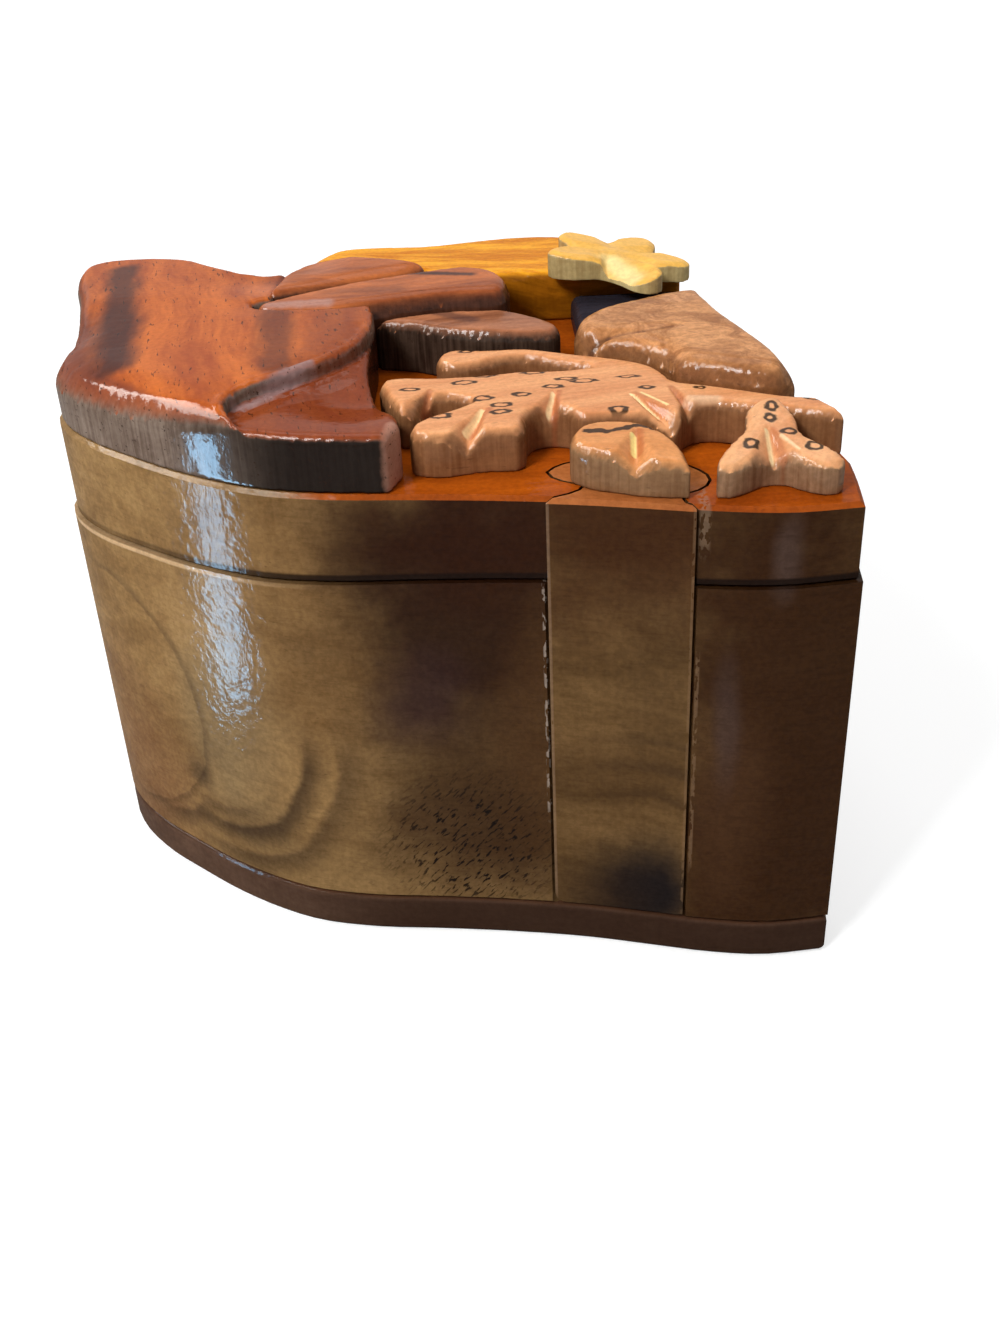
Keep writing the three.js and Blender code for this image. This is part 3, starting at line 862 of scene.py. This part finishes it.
GOLDEN_WOOD = Wood(
    "golden_streaked_wood", srgb(248, 172, 40), srgb(204, 118, 14), srgb(172, 104, 18), srgb(118, 68, 8),
    grain_degrees=-4, streak_mm=1.4, contrast=1.5, pores=0.1, saw_lines=0.1, coat=0.18,
)
INSET_WOOD = Wood(
    "near_black_wood", srgb(60, 56, 64), srgb(36, 33, 40), srgb(48, 42, 50), srgb(28, 24, 28),
    streak_mm=2, contrast=0.6, pores=0, saw_lines=0.2, ripple=0.5,
)
STAR_WOOD = Wood(
    "pale_yellow_wood", srgb(250, 196, 96), srgb(232, 172, 76), srgb(212, 190, 134), srgb(150, 122, 76),
    figure=Figure.STRAIGHT, streak_mm=1.6, contrast=0.6, pores=0, saw_lines=0.4,
    bands=(Band((27.8, 20.4), (30.2, 14.6), 1.6, 0.75, srgb(244, 224, 160)),),
)


def activate(piece: bpy.types.Object) -> None:
    """Selects one object alone and makes it active.

    Args:
        piece: The object.
    """
    bpy.ops.object.select_all(action="DESELECT")
    piece.select_set(True)
    bpy.context.view_layer.objects.active = piece


def apply_modifier(piece: bpy.types.Object, kind: str, **settings: object) -> None:
    """Adds a modifier with its settings and applies it.

    Args:
        piece: The piece that it changes.
        kind: The modifier's type.
        **settings: Properties of the modifier.
    """
    modifier = piece.modifiers.new(kind.lower(), kind)
    for key, value in settings.items():
        setattr(modifier, key, value)
    activate(piece)
    bpy.ops.object.modifier_apply(modifier=modifier.name)


def copy_of_node(node: str, name: str) -> bpy.types.Object:
    """Copies a CAD node into a new piece with its points merged and its flat faces joined.

    Args:
        node: The CAD node's name.
        name: The new piece's name.

    Returns:
        The new piece, at the origin.
    """
    piece = bpy.data.objects.new(name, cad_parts[node].data.copy())
    bpy.context.scene.collection.objects.link(piece)
    piece.data.materials.clear()
    activate(piece)
    if piece.data.has_custom_normals:
        bpy.ops.mesh.customdata_custom_splitnormals_clear()
    bpy.ops.object.mode_set(mode="EDIT")
    bpy.ops.mesh.select_all(action="SELECT")
    bpy.ops.mesh.remove_doubles(threshold=0.01 * MM)
    bpy.ops.mesh.dissolve_limited(angle_limit=math.radians(0.4))
    bpy.ops.object.mode_set(mode="OBJECT")
    return piece


def dress(piece: bpy.types.Object, wood: Wood, node: str, body: str) -> None:
    """Gives a piece its wood, hangs it on the body that it moves with and hides the CAD node that it stands
    for.

    Args:
        piece: The finished mesh.
        wood: Its finish.
        node: The CAD node that it replaces.
        body: The body that it moves with.
    """
    piece.data.materials.append(bpy.data.materials.get(wood.name) or wood.material())
    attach(piece, body)
    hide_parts(node)
    log.info("%s: %d faces, %s", piece.name, len(piece.data.polygons), wood.name)


def ramp(value: Array, start: float, end: float) -> Array:
    """Gives 0 at start and 1 at end, straight between them and level beyond them."""
    return np.clip((value - start) / (end - start), 0, 1)


def eased(share: Array) -> Array:
    """Eases a share of 0 to 1 at both its ends."""
    return share * share * (3 - 2 * share)


@dataclass(frozen=True)
class Plan:
    """Where a piece's points lie in plan and how far they are from its wall, in millimetres."""

    x: Array
    y: Array
    edge: Array

    def rounded(self, height: float | Array, radius: float) -> Array:
        """Gives a top that rounds over towards the wall."""
        into = np.clip(radius - self.edge, 0, radius)
        return height - radius + np.sqrt(radius**2 - into**2)

    def mound(self, middle: Point, size: Point) -> Array:
        """Gives a soft mound of height 1."""
        return np.exp(-(((self.x - middle[0]) / size[0]) ** 2) - ((self.y - middle[1]) / size[1]) ** 2)

    def line_distance(self, line: Sequence[Point]) -> Array:
        """Gives the distance to a line of points.

        Args:
            line: The line's points.

        Returns:
            Each point's distance in millimetres.
        """
        nearest = np.full(len(self.x), np.inf)
        for (ax, ay), (bx, by) in zip(line[:-1], line[1:]):
            run_x, run_y = bx - ax, by - ay
            along = ((self.x - ax) * run_x + (self.y - ay) * run_y) / (run_x**2 + run_y**2)
            along = np.clip(along, 0, 1)
            nearest = np.minimum(nearest, np.hypot(self.x - ax - along * run_x, self.y - ay - along * run_y))
        return nearest


HeightField = Callable[[Plan], Array]


@dataclass(frozen=True)
class Groove:
    """A V cut in plan that starts as a point and widens, in millimetres; run_out is in lengths of the cut."""

    start: Point
    end: Point
    half_width: float
    depth: float
    lean: float = 0.0
    run_out: float = 1.25

    def cut(self, at: Plan) -> Array:
        """Gives how deep the cut is at each point.

        Args:
            at: The points in plan.

        Returns:
            The depths in millimetres.
        """
        run = np.subtract(self.end, self.start)
        length = float(np.hypot(*run))
        dx, dy = at.x - self.start[0], at.y - self.start[1]
        along = (dx * run[0] + dy * run[1]) / length
        across = (dy * run[0] - dx * run[1]) / length
        reach = np.clip(along / length, 0, self.run_out)
        half = np.maximum(self.half_width * reach, 1e-6)
        off = across - self.lean * half
        shape = np.clip(1 - np.abs(off) / (half * np.where(off > 0, 1 - self.lean, 1 + self.lean)), 0, 1)
        past = np.clip(1 - (along - self.run_out * length) / 2, 0, 1)
        return self.depth * np.minimum(reach, 1) ** 0.8 * shape * past


class CarvedPiece:
    """A relief piece while it is carved: a close mesh over the CAD solid, with its top cut to a height."""

    WALL_GRID_MM = 0.25
    THINNEST_MM = 0.6

    def __init__(self, node: str, name: str, grid_mm: float = 0.35, ease: int = 5) -> None:
        """Makes the close mesh.

        Args:
            node: The CAD node's name.
            name: The new piece's name.
            grid_mm: The mesh's spacing.
            ease: How many times its edges are smoothed.
        """
        self.node = node
        self.piece = copy_of_node(node, name)
        low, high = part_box(node)
        self.foot, self.top = low.z / MM, high.z / MM
        apply_modifier(self.piece, "REMESH", mode="VOXEL", voxel_size=grid_mm * MM, adaptivity=0.0)
        apply_modifier(self.piece, "SMOOTH", factor=0.5, iterations=ease)
        self.points = self.read("co").astype(float) / MM
        self.normals = self.read("normal")

    def read(self, attribute: str) -> Array:
        """Reads a vector of each of the mesh's points.

        Args:
            attribute: The attribute's name.

        Returns:
            One row for each point.
        """
        vertices = self.piece.data.vertices
        values = np.empty(len(vertices) * 3, np.float32)
        vertices.foreach_get(attribute, values)
        return values.reshape(-1, 3)

    def edge_distance(self) -> Array:
        """Gives each point's distance in plan to the nearest wall, in millimetres.

        Returns:
            The distances.
        """
        walls = self.points[np.abs(self.normals[:, 2]) < 0.3][:, :2]
        walls = np.unique(np.round(walls / self.WALL_GRID_MM).astype(int), axis=0) * self.WALL_GRID_MM
        tree = KDTree(len(walls))
        for index, (x, y) in enumerate(walls):
            tree.insert((x, y, 0.0), index)
        tree.balance()
        return np.array([tree.find((x, y, 0.0))[2] for x, y, _ in self.points])

    def carve(
        self, height: HeightField, blank: HeightField | None = None, under: HeightField | None = None
    ) -> "CarvedPiece":
        """Lowers the top to a height field over the foot, and draws the walls with it.

        Args:
            height: Gives the top's height, in millimetres.
            blank: Gives the top before carving, where that isn't level.
            under: Gives how far the underside is cut away.

        Returns:
            The same piece.
        """
        full = self.top - self.foot
        at = Plan(self.points[:, 0], self.points[:, 1], self.edge_distance())
        share = np.clip((self.points[:, 2] - self.foot) / (blank(at) if blank else full), -0.05, 1.0)
        lift = under(at) if under else 0.0
        wanted = np.clip(height(at), lift + self.THINNEST_MM, full)
        self.points[:, 2] = self.foot + lift + share * (wanted - lift)
        return self

    def finish(self, wood: Wood, slot: str, body: str = "lid") -> None:
        """Writes the points back, smooths the piece all over and dresses it.

        Args:
            wood: Its finish.
            slot: A material slot's name; it is not used.
            body: The body that it moves with.
        """
        self.points[:, 2] = np.clip(self.points[:, 2], self.foot, self.top)
        mesh = self.piece.data
        mesh.vertices.foreach_set("co", (self.points * MM).astype(np.float32).ravel())
        mesh.update()
        activate(self.piece)
        bpy.ops.object.shade_smooth()
        dress(self.piece, wood, self.node, body)


@dataclass
class SawnBlock:
    """The box's own pieces, sawn from one block: base, wall, lid and the hidden dowel."""

    edge_mm: float = 0.35
    base_edge_mm: float = 0.9
    dowel_edge_mm: float = 0.3
    sharp_degrees: float = 28.0
    smooth_degrees: float = 40.0

    def sawn(
        self, node: str, name: str, edge_mm: float, shape: Callable[[bpy.types.Object], None] | None = None
    ) -> bpy.types.Object:
        """Copies a sawn piece and rounds its sharp edges a little.

        Args:
            node: The CAD node's name.
            name: The new piece's name.
            edge_mm: The width of the rounding.
            shape: Shapes the piece further before its edges are eased.

        Returns:
            The new piece.
        """
        piece = copy_of_node(node, name)
        if shape:
            shape(piece)
        apply_modifier(
            piece, "BEVEL", width=edge_mm * MM, segments=3, limit_method="ANGLE",
            angle_limit=math.radians(self.sharp_degrees), use_clamp_overlap=True,
        )
        activate(piece)
        bpy.ops.object.shade_smooth_by_angle(angle=math.radians(self.smooth_degrees))
        apply_modifier(piece, "WEIGHTED_NORMAL", keep_sharp=True, weight=60)
        return piece

    def build(self) -> None:
        """Builds and dresses the pieces."""
        for node, name, edge_mm, wood, body, slot in (
            ("base_plate", "base_board", self.base_edge_mm, BASE_WOOD, "box", "base_wood"),
            ("box_body", "box_wall", self.edge_mm, BLOCK_WOOD, "box", "box_wood"),
            ("pivot_dowel", "hidden_dowel", self.dowel_edge_mm, DOWEL_WOOD, "box", "dowel_wood"),
            ("lid_plate", "lid_board", self.edge_mm, BLOCK_WOOD, "lid", "lid_wood"),
        ):
            dress(self.sawn(node, name, edge_mm), wood, node, body)


@dataclass
class LockingKey:
    """The key at the front and the spotted piece on its top."""

    edge_mm: float = 0.5
    corner_mm: float = 1.4
    corner_cuts: tuple[float, ...] = (0.1, 0.3, 0.6, 1.0)
    front_mm: float = -37.9
    foot_mm: float = 0.3
    carving_top: float = 5.0
    carving_round: float = 0.9
    right_fall: float = 0.8
    right_mound: Mound = ((31.0, -40.5), (6.0, 4.5))
    notch: Groove = Groove((25.8, -31.6), (25.0, -37.6), 1.9, 1.7, 0.1)

    def build(self) -> None:
        """Builds and dresses the key."""
        key = SawnBlock().sawn("lock_key", "key_block", self.edge_mm, self.rounded_corners)
        dress(key, KEY_WOOD, "lock_key", "key")
        carving = CarvedPiece("key_carving", "key_relief", 0.28).carve(self.height)
        carving.finish(KEY_CARVING_WOOD, "coral_wood", "key")

    def rounded_corners(self, piece: bpy.types.Object) -> None:
        """Rounds the key's two lower front corners.

        Args:
            piece: The key, before its edges are eased.
        """
        mesh, reach, front = piece.data, self.corner_mm * MM, self.front_mm * MM
        foot = min(v.co.z for v in mesh.vertices) + self.foot_mm * MM
        across = [v.co.x for v in mesh.vertices if v.co.y < front]
        left, right = min(across), max(across)
        activate(piece)
        bpy.ops.object.mode_set(mode="EDIT")
        for share in self.corner_cuts:
            for place in (left + share * reach, right - share * reach):
                bpy.ops.mesh.select_all(action="SELECT")
                bpy.ops.mesh.bisect(plane_co=(place, 0.0, 0.0), plane_no=(1.0, 0.0, 0.0))
        bpy.ops.object.mode_set(mode="OBJECT")
        for vertex in mesh.vertices:
            place = vertex.co
            past = reach - min(place.x - left, right - place.x)
            if past > 0 and place.y < front and place.z < foot:
                place.z += reach - math.sqrt(max(reach**2 - past**2, 0.0))

    def height(self, at: Plan) -> Array:
        """Gives the carving's top: rounded, lower at its right, with a V notch at the front."""
        top = at.rounded(self.carving_top, self.carving_round)
        return top - self.right_fall * at.mound(*self.right_mound) - self.notch.cut(at)


@dataclass
class Animal:
    """The large red-brown animal with its snout and fin; heights are over the lid, in millimetres."""

    body_top: float = 9.0
    body_round: float = 0.9
    left_fall: float = 0.3
    front_fall: float = 1.4
    left_span: Span = (-20.0, -50.0)
    front_span: Span = (14.0, -6.0)
    rim_fall: float = 2.0
    rim_mm: float = 6.0
    rim_left_span: Span = (-18.0, -32.0)
    rim_front_span: Span = (12.0, 0.0)
    back_fall: float = 1.3
    back_mound: Mound = ((-18.0, 22.0), (7.0, 8.0))
    wall_cut: float = 0.5
    wall_cut_mm: float = 1.6
    hollow_depth: float = 2.3
    hollow: Mound = ((-5.0, -22.0), (6.5, 6.5))
    hollow_wall_span: Span = (0.8, 2.8)
    wall_line: tuple[Point, ...] = (
        (-19.4, -27.2), (-15.9, -23.2), (-12.2, -18.6), (-8.5, -14.4), (-5.8, -9.4), (-4.6, -4.2),
    )
    snout_top: float = 9.2
    joint_span: Span = (-9.0, -15.0)
    lower_round: float = 2.0
    lower_joint: float = 0.7
    upper_round: float = 3.0
    upper_joint: float = 0.85
    upper_reach: float = 0.9
    upper_reach_span: Span = (-9.0, -17.0)
    fin_top: float = 6.8
    fin_round: float = 1.1

    def build(self) -> None:
        """Builds and dresses the four pieces."""
        CarvedPiece("animal_body", "animal", 0.42).carve(self.body_height).finish(ANIMAL_WOOD, "animal_wood")
        lower = CarvedPiece("snout_lower", "lower_snout", ease=3).carve(self.lower_height)
        lower.finish(SNOUT_WOOD, "snout_wood")
        upper = CarvedPiece("snout_upper", "upper_snout", ease=2).carve(self.upper_height)
        upper.points[:, 0] -= self.upper_reach * eased(ramp(upper.points[:, 0], *self.upper_reach_span))
        upper.finish(SNOUT_WOOD, "snout_wood")
        CarvedPiece("side_fin", "fin", 0.3).carve(self.fin_height).finish(FIN_WOOD, "fin_wood")

    def body_height(self, at: Plan) -> Array:
        """Gives the animal's top: low at the outer rim, high by the carved wall, hollow in the lower step.

        Args:
            at: The points in plan.

        Returns:
            The heights.
        """
        fall = self.left_fall + self.front_fall * ramp(at.y, *self.front_span)
        top = self.body_top - fall * ramp(at.x, *self.left_span) ** 1.5
        rim = ramp(at.edge, self.rim_mm, 0.0) ** 2 * ramp(at.x, *self.rim_left_span)
        top = top - self.rim_fall * rim * ramp(at.y, *self.rim_front_span)
        near = at.line_distance(self.wall_line)
        top = top - self.wall_cut * np.exp(-((near / self.wall_cut_mm) ** 2)) * (at.edge > 1.0)
        top = top - self.back_fall * at.mound(*self.back_mound)
        (wall_x, wall_y), right = self.wall_line[2], ramp(near, *self.hollow_wall_span)
        inside = ramp(0.84 * (at.x - wall_x) - 0.54 * (at.y - wall_y), 0.0, 2.0)
        hollow = self.hollow_depth * at.mound(*self.hollow) * right * inside
        return at.rounded(top, self.body_round) - hollow

    def lower_height(self, at: Plan) -> Array:
        """Gives the lower snout's top: a low ridge that falls to the tip and the front."""
        fall = 0.5 * ramp(at.x, -8.0, -20.0) + 0.6 * ramp(at.y, 7.0, 4.0)
        return self.snout_height(at, self.lower_round, self.lower_joint) - fall

    def upper_height(self, at: Plan) -> Array:
        """Gives the upper snout's top: domed, a little lower at its far corner."""
        far = 1.2 * ramp(at.y, 20.0, 28.0) * ramp(at.x, *self.joint_span)
        return self.snout_height(at, self.upper_round, self.upper_joint) - far

    def snout_height(self, at: Plan, radius: float, full: float) -> Array:
        """Gives a snout's top: rounded, but nearly full where it meets the animal.

        Args:
            at: The points in plan.
            radius: How far its edges are rounded.
            full: How much of the rounding is left out at the joint.

        Returns:
            The heights.
        """
        joint = ramp(at.x, *self.joint_span)
        return self.snout_top - (self.snout_top - at.rounded(self.snout_top, radius)) * (1 - full * joint)

    def fin_height(self, at: Plan) -> Array:
        """Gives the fin's top: flat, a little lower at its tip."""
        return at.rounded(self.fin_top, self.fin_round) - 0.5 * ramp(at.x, 10.0, 19.0)


@dataclass
class Coral:
    """The spotted coral and its fork, with the V cuts of the carving knife."""

    top: float = 5.3
    edge_round: float = 0.8
    grooves: tuple[Groove, ...] = (
        Groove((26.0, -22.0), (29.6, -29.2), 2.0, 2.0, 0.25),
        Groove((30.7, -20.0), (32.4, -26.4), 1.1, 1.5),
        Groove((9.3, -24.4), (7.2, -31.6), 2.0, 2.2, -0.1),
        Groove((17.7, -19.6), (16.4, -25.6), 1.8, 2.0, 0.1),
        Groove((3.2, -17.6), (1.9, -21.4), 1.5, 1.6),
    )
    fork_cut: Groove = Groove((39.9, -33.2), (39.9, -38.6), 2.6, 2.0)
    fork_top: float = 6.4
    fork_round: float = 0.9
    fork_low: float = 3.5
    fork_front: float = -41.33
    fork_rise: float = 0.22

    def build(self) -> None:
        """Builds and dresses both pieces."""
        CarvedPiece("coral_main", "coral", 0.3, 4).carve(self.height).finish(CORAL_WOOD, "coral_wood")
        fork = CarvedPiece("coral_fork", "fork_coral", 0.26, 4).carve(self.fork_height, self.fork_blank)
        fork.finish(FORK_WOOD, "coral_wood")

    def height(self, at: Plan) -> Array:
        """Gives the coral's top with its V cuts."""
        return at.rounded(self.top, self.edge_round) - sum(groove.cut(at) for groove in self.grooves)

    def fork_blank(self, at: Plan) -> Array:
        """Gives the fork's top before carving: it rises to the back."""
        return np.minimum(self.fork_low + self.fork_rise * (at.y - self.fork_front), self.fork_top)

    def fork_height(self, at: Plan) -> Array:
        """Gives the fork's top: rounded lobes with one wide cut into the crotch."""
        return at.rounded(self.fork_blank(at), self.fork_round) - self.fork_cut.cut(at)


@dataclass
class Shore:
    """The rock, the golden piece, the dark inset and the starfish; heights are over each one's foot."""

    rock_top: float = 7.8
    rock_round: float = 2.6
    crease_depth: float = 1.5
    crease_mm: float = 0.9
    crease_fade: Span = (35.0, 23.0)
    front_fall: float = 1.2
    front_span: Span = (-5.8, -10.8)
    crease: tuple[Point, ...] = ((19.5, -6.6), (21.6, -6.2), (24.8, -6.0), (29.0, -6.0), (34.4, -5.5))
    golden_top: float = 7.2
    golden_round: float = 1.0
    seat: float = 5.7
    seat_margin: float = 0.6
    fill_margin: float = 1.2
    inset_top: float = 4.0
    inset_round: float = 1.6
    star_middle: Point = (28.65, 23.67)
    star_radius: float = 10.6
    star_dip: float = 0.2
    star_turn: float = -85.0
    star_lobe_degrees: float = 72.0
    star_round: float = 0.35
    star_left_top: float = 5.25
    star_fall: float = 2.84
    star_fall_span: Span = (19.0, 39.0)
    star_lift: float = 1.4
    star_lift_span: Span = (37.0, 23.0)
    star_cut: float = 0.6
    star_cut_mm: float = 1.8
    star_facet: float = 2.2
    star_facet_degrees: Span = (40.0, 32.0)
    star_arm: Span = (2.0, 9.0)
    star_lean: float = 2.6
    star_stretch: float = 1.2

    def build(self) -> None:
        """Builds and dresses the four pieces."""
        CarvedPiece("rock", "rounded_rock", ease=8).carve(self.rock_height).finish(ROCK_WOOD, "rock_wood")
        golden = CarvedPiece("golden_panel", "golden_back", 0.42).carve(self.golden_height, self.golden_blank)
        golden.finish(GOLDEN_WOOD, "golden_wood")
        inset = CarvedPiece("dark_inset", "black_inset", 0.4).carve(self.inset_height)
        inset.finish(INSET_WOOD, "inset_wood")
        star = CarvedPiece("starfish", "carved_starfish", 0.25, 2)
        star.carve(self.star_height, under=self.star_under)
        share = ramp(self.star_middle[1] - star.points[:, 1], *self.star_arm)
        star.points[:, 0] += self.star_lean * eased(share)
        star.points[:, 1] -= self.star_stretch * share * share
        star.finish(STAR_WOOD, "starfish_wood")

    def rock_height(self, at: Plan) -> Array:
        """Gives the rock's top: a rounded lobe behind a crease that fades, and a lower one before it.

        Args:
            at: The points in plan.

        Returns:
            The heights.
        """
        top = at.rounded(self.rock_top, self.rock_round) - 0.5 * ramp(at.y, 4.0, 12.0)
        fade = ramp(at.x, *self.crease_fade)
        cut = self.crease_depth * np.exp(-((at.line_distance(self.crease) / self.crease_mm) ** 2))
        return top - (cut + self.front_fall * ramp(at.y, *self.front_span)) * fade

    def beyond_star(self, at: Plan) -> Array:
        """Gives how far each point lies outside the starfish's outline, in millimetres.

        Args:
            at: The points in plan.

        Returns:
            The distances, below zero inside.
        """
        dx, dy = at.x - self.star_middle[0], at.y - self.star_middle[1]
        lobe = np.cos(360.0 / self.star_lobe_degrees * (np.arctan2(dy, dx) - math.radians(self.star_turn)))
        return np.hypot(dx, dy) - self.star_radius * (1 - self.star_dip + self.star_dip * lobe)

    def golden_blank(self, at: Plan) -> Array:
        """Gives the golden piece's top before carving, with the hollow that the starfish sits in."""
        return np.where(self.beyond_star(at) < self.seat_margin, self.seat, self.golden_top)

    def golden_height(self, at: Plan) -> Array:
        """Gives the golden piece's top: flat, eased at its edge, and filled up under the starfish."""
        eased_top = at.rounded(self.golden_top, self.golden_round)
        return np.where(self.beyond_star(at) < self.fill_margin, self.golden_top, eased_top)

    def inset_height(self, at: Plan) -> Array:
        """Gives the inset's top: lightly domed."""
        return at.rounded(self.inset_top, self.inset_round)

    def star_height(self, at: Plan) -> Array:
        """Gives the starfish's top: it falls to the right, with V cuts and a facet on its front arm.

        Args:
            at: The points in plan.

        Returns:
            The heights.
        """
        dx, dy = at.x - self.star_middle[0], at.y - self.star_middle[1]
        out, turn = np.hypot(dx, dy), np.degrees(np.arctan2(dy, dx)) - self.star_turn
        half = self.star_lobe_degrees / 2
        off_lobe = np.abs((turn + half) % self.star_lobe_degrees - half)
        across = out * np.sin(np.radians(half - off_lobe))
        cut = self.star_cut * ramp(across, self.star_cut_mm, 0.0) * ramp(out, 0.0, 6.0)
        level = self.star_left_top - self.star_fall * ramp(at.x, *self.star_fall_span)
        front = ramp(np.abs((turn + 180.0) % 360.0 - 180.0), *self.star_facet_degrees)
        facet = self.star_facet * front * ramp(dx, 2.6, -1.4) * ramp(out, 2.0, 7.0)
        return at.rounded(level, self.star_round) - cut - facet

    def star_under(self, at: Plan) -> Array:
        """Gives how far the starfish's underside is cut away: up to the golden piece's top at the left."""
        return self.star_lift * ramp(at.x, *self.star_lift_span)


@dataclass(frozen=True)
class Softbox:
    """A studio lamp: its place, its size and what it points at in metres, and its power in watts."""

    name: str
    place: Place
    size: Point
    power: float
    target: Place = (0.0, 0.0, 0.05)
    colour: Colour = WHITE
    glints_only: bool = False


@dataclass
class Studio:
    """The pale floor, the white background, the lamps and the camera."""

    floor_grey: Colour = srgb(196, 196, 196)
    floor_size: float = 4.0
    floor_drop: float = -0.0002
    soft_light: float = 0.35
    camera_place: Place = (0.00965, -0.17603, 0.1247)
    camera_right: Place = (0.9989, -0.02427, -0.0400)
    camera_up: Place = (0.0468, 0.5182, 0.8539)
    lens_mm: float = 36.0 * 1400 / 1333
    lamps: tuple[Softbox, ...] = (
        Softbox("front_left", (-0.26, -0.34, 0.44), (0.12, 0.12), 2.6),
        Softbox("overhead", (0.0, 0.25, 0.7), (0.5, 0.5), 2.2),
        Softbox("rim", (-0.3, -0.16, 0.46), (0.24, 0.12), 3.0, colour=(1.0, 0.96, 0.9), glints_only=True),
        Softbox(
            "side_rim", (-0.42, 0.06, 0.34), (0.34, 0.14), 5.0, (-0.03, -0.02, 0.07), (1.0, 0.95, 0.88), True
        ),
        Softbox(
            "low_strip", (-0.085, -0.045, 0.02), (0.014, 0.046), 0.12, (-0.024, -0.03, 0.05),
            (0.36, 0.68, 1.0), True,
        ),
    )

    def build(self) -> None:
        """Builds the studio."""
        self.floor()
        self.background()
        for lamp in self.lamps:
            self.lamp(lamp)
        self.camera()

    def floor(self) -> None:
        """Lays the pale floor under the box."""
        bpy.ops.mesh.primitive_plane_add(size=self.floor_size, location=(0.0, 0.0, self.floor_drop))
        floor = bpy.context.active_object
        floor.name = "pale_floor"
        paint = bpy.data.materials.new("pale_floor")
        g = Graph(paint)
        seen = g.add("LightPath", {}, "Is Camera Ray")
        far = g.smooth(g.vector("LENGTH", g.add("TexCoord", {}, "Object")), 0.25, 0.8, 0.62, 1.0)
        matt = g.add("BsdfDiffuse", {"Color": self.floor_grey})
        glow = g.add("Emission", {"Color": WHITE, "Strength": g.times(seen, far)})
        g.finish(g.add("AddShader", {0: matt, 1: glow}))
        floor.data.materials.append(paint)

    def background(self) -> None:
        """Makes the world white where it is seen or mirrored, and a soft grey light elsewhere."""
        world = bpy.data.worlds.new("studio")
        bpy.context.scene.world = world
        g = Graph(world, "OutputWorld")
        rays = ("Is Camera Ray", "Is Glossy Ray", "Is Transmission Ray")
        seen, glossy, through = (g.add("LightPath", {}, ray) for ray in rays)
        white = g.math("MAXIMUM", seen, g.math("MAXIMUM", glossy, through))
        strength = g.add("MapRange", {0: white, 3: self.soft_light, 4: 1.0})
        g.finish(g.add("Background", {"Color": WHITE, "Strength": strength}))

    def lamp(self, softbox: Softbox) -> None:
        """Hangs one softbox and points it.

        Args:
            softbox: The lamp's place, size and light.
        """
        light = bpy.data.lights.new(softbox.name, "AREA")
        light.shape = "RECTANGLE"
        light.size, light.size_y = softbox.size
        light.energy = softbox.power
        light.color = softbox.colour
        back = np.subtract(softbox.place, softbox.target)
        holder = self.place(light, softbox.place, np.cross((0.0, 0.0, 1.0), back), back)
        holder.visible_camera = False
        holder.visible_diffuse = not softbox.glints_only

    def camera(self) -> None:
        """Sets the camera at the photograph's place."""
        camera = bpy.data.cameras.new("camera")
        camera.lens = self.lens_mm
        camera.clip_start = 0.005
        back = np.cross(self.camera_right, self.camera_up)
        bpy.context.scene.camera = self.place(camera, self.camera_place, np.array(self.camera_right), back)

    @staticmethod
    def place(data: bpy.types.ID, where: Place, right: Array, back: Array) -> bpy.types.Object:
        """Puts a lamp or the camera in the scene.

        Args:
            data: The lamp or camera.
            where: Its place in metres.
            right: The direction to its right.
            back: The direction away from what it looks at, square to its right.

        Returns:
            The object that holds it.
        """
        holder = bpy.data.objects.new(data.name, data)
        bpy.context.scene.collection.objects.link(holder)
        right, back = right / np.linalg.norm(right), back / np.linalg.norm(back)
        matrix = np.eye(4)
        matrix[:3] = np.column_stack((right, np.cross(back, right), back, where))
        holder.matrix_world = Matrix(matrix.tolist())
        return holder


def main() -> None:
    """Builds the studio and each part of the box."""
    logging.basicConfig(level=logging.INFO, format="%(name)s %(message)s")
    bpy.context.scene.view_settings.view_transform = "Standard"
    Studio().build()
    for part in (SawnBlock(), LockingKey(), Animal(), Coral(), Shore()):
        part.build()
        log.info("%s is built", type(part).__name__)


if __name__ == "__main__":
    main()
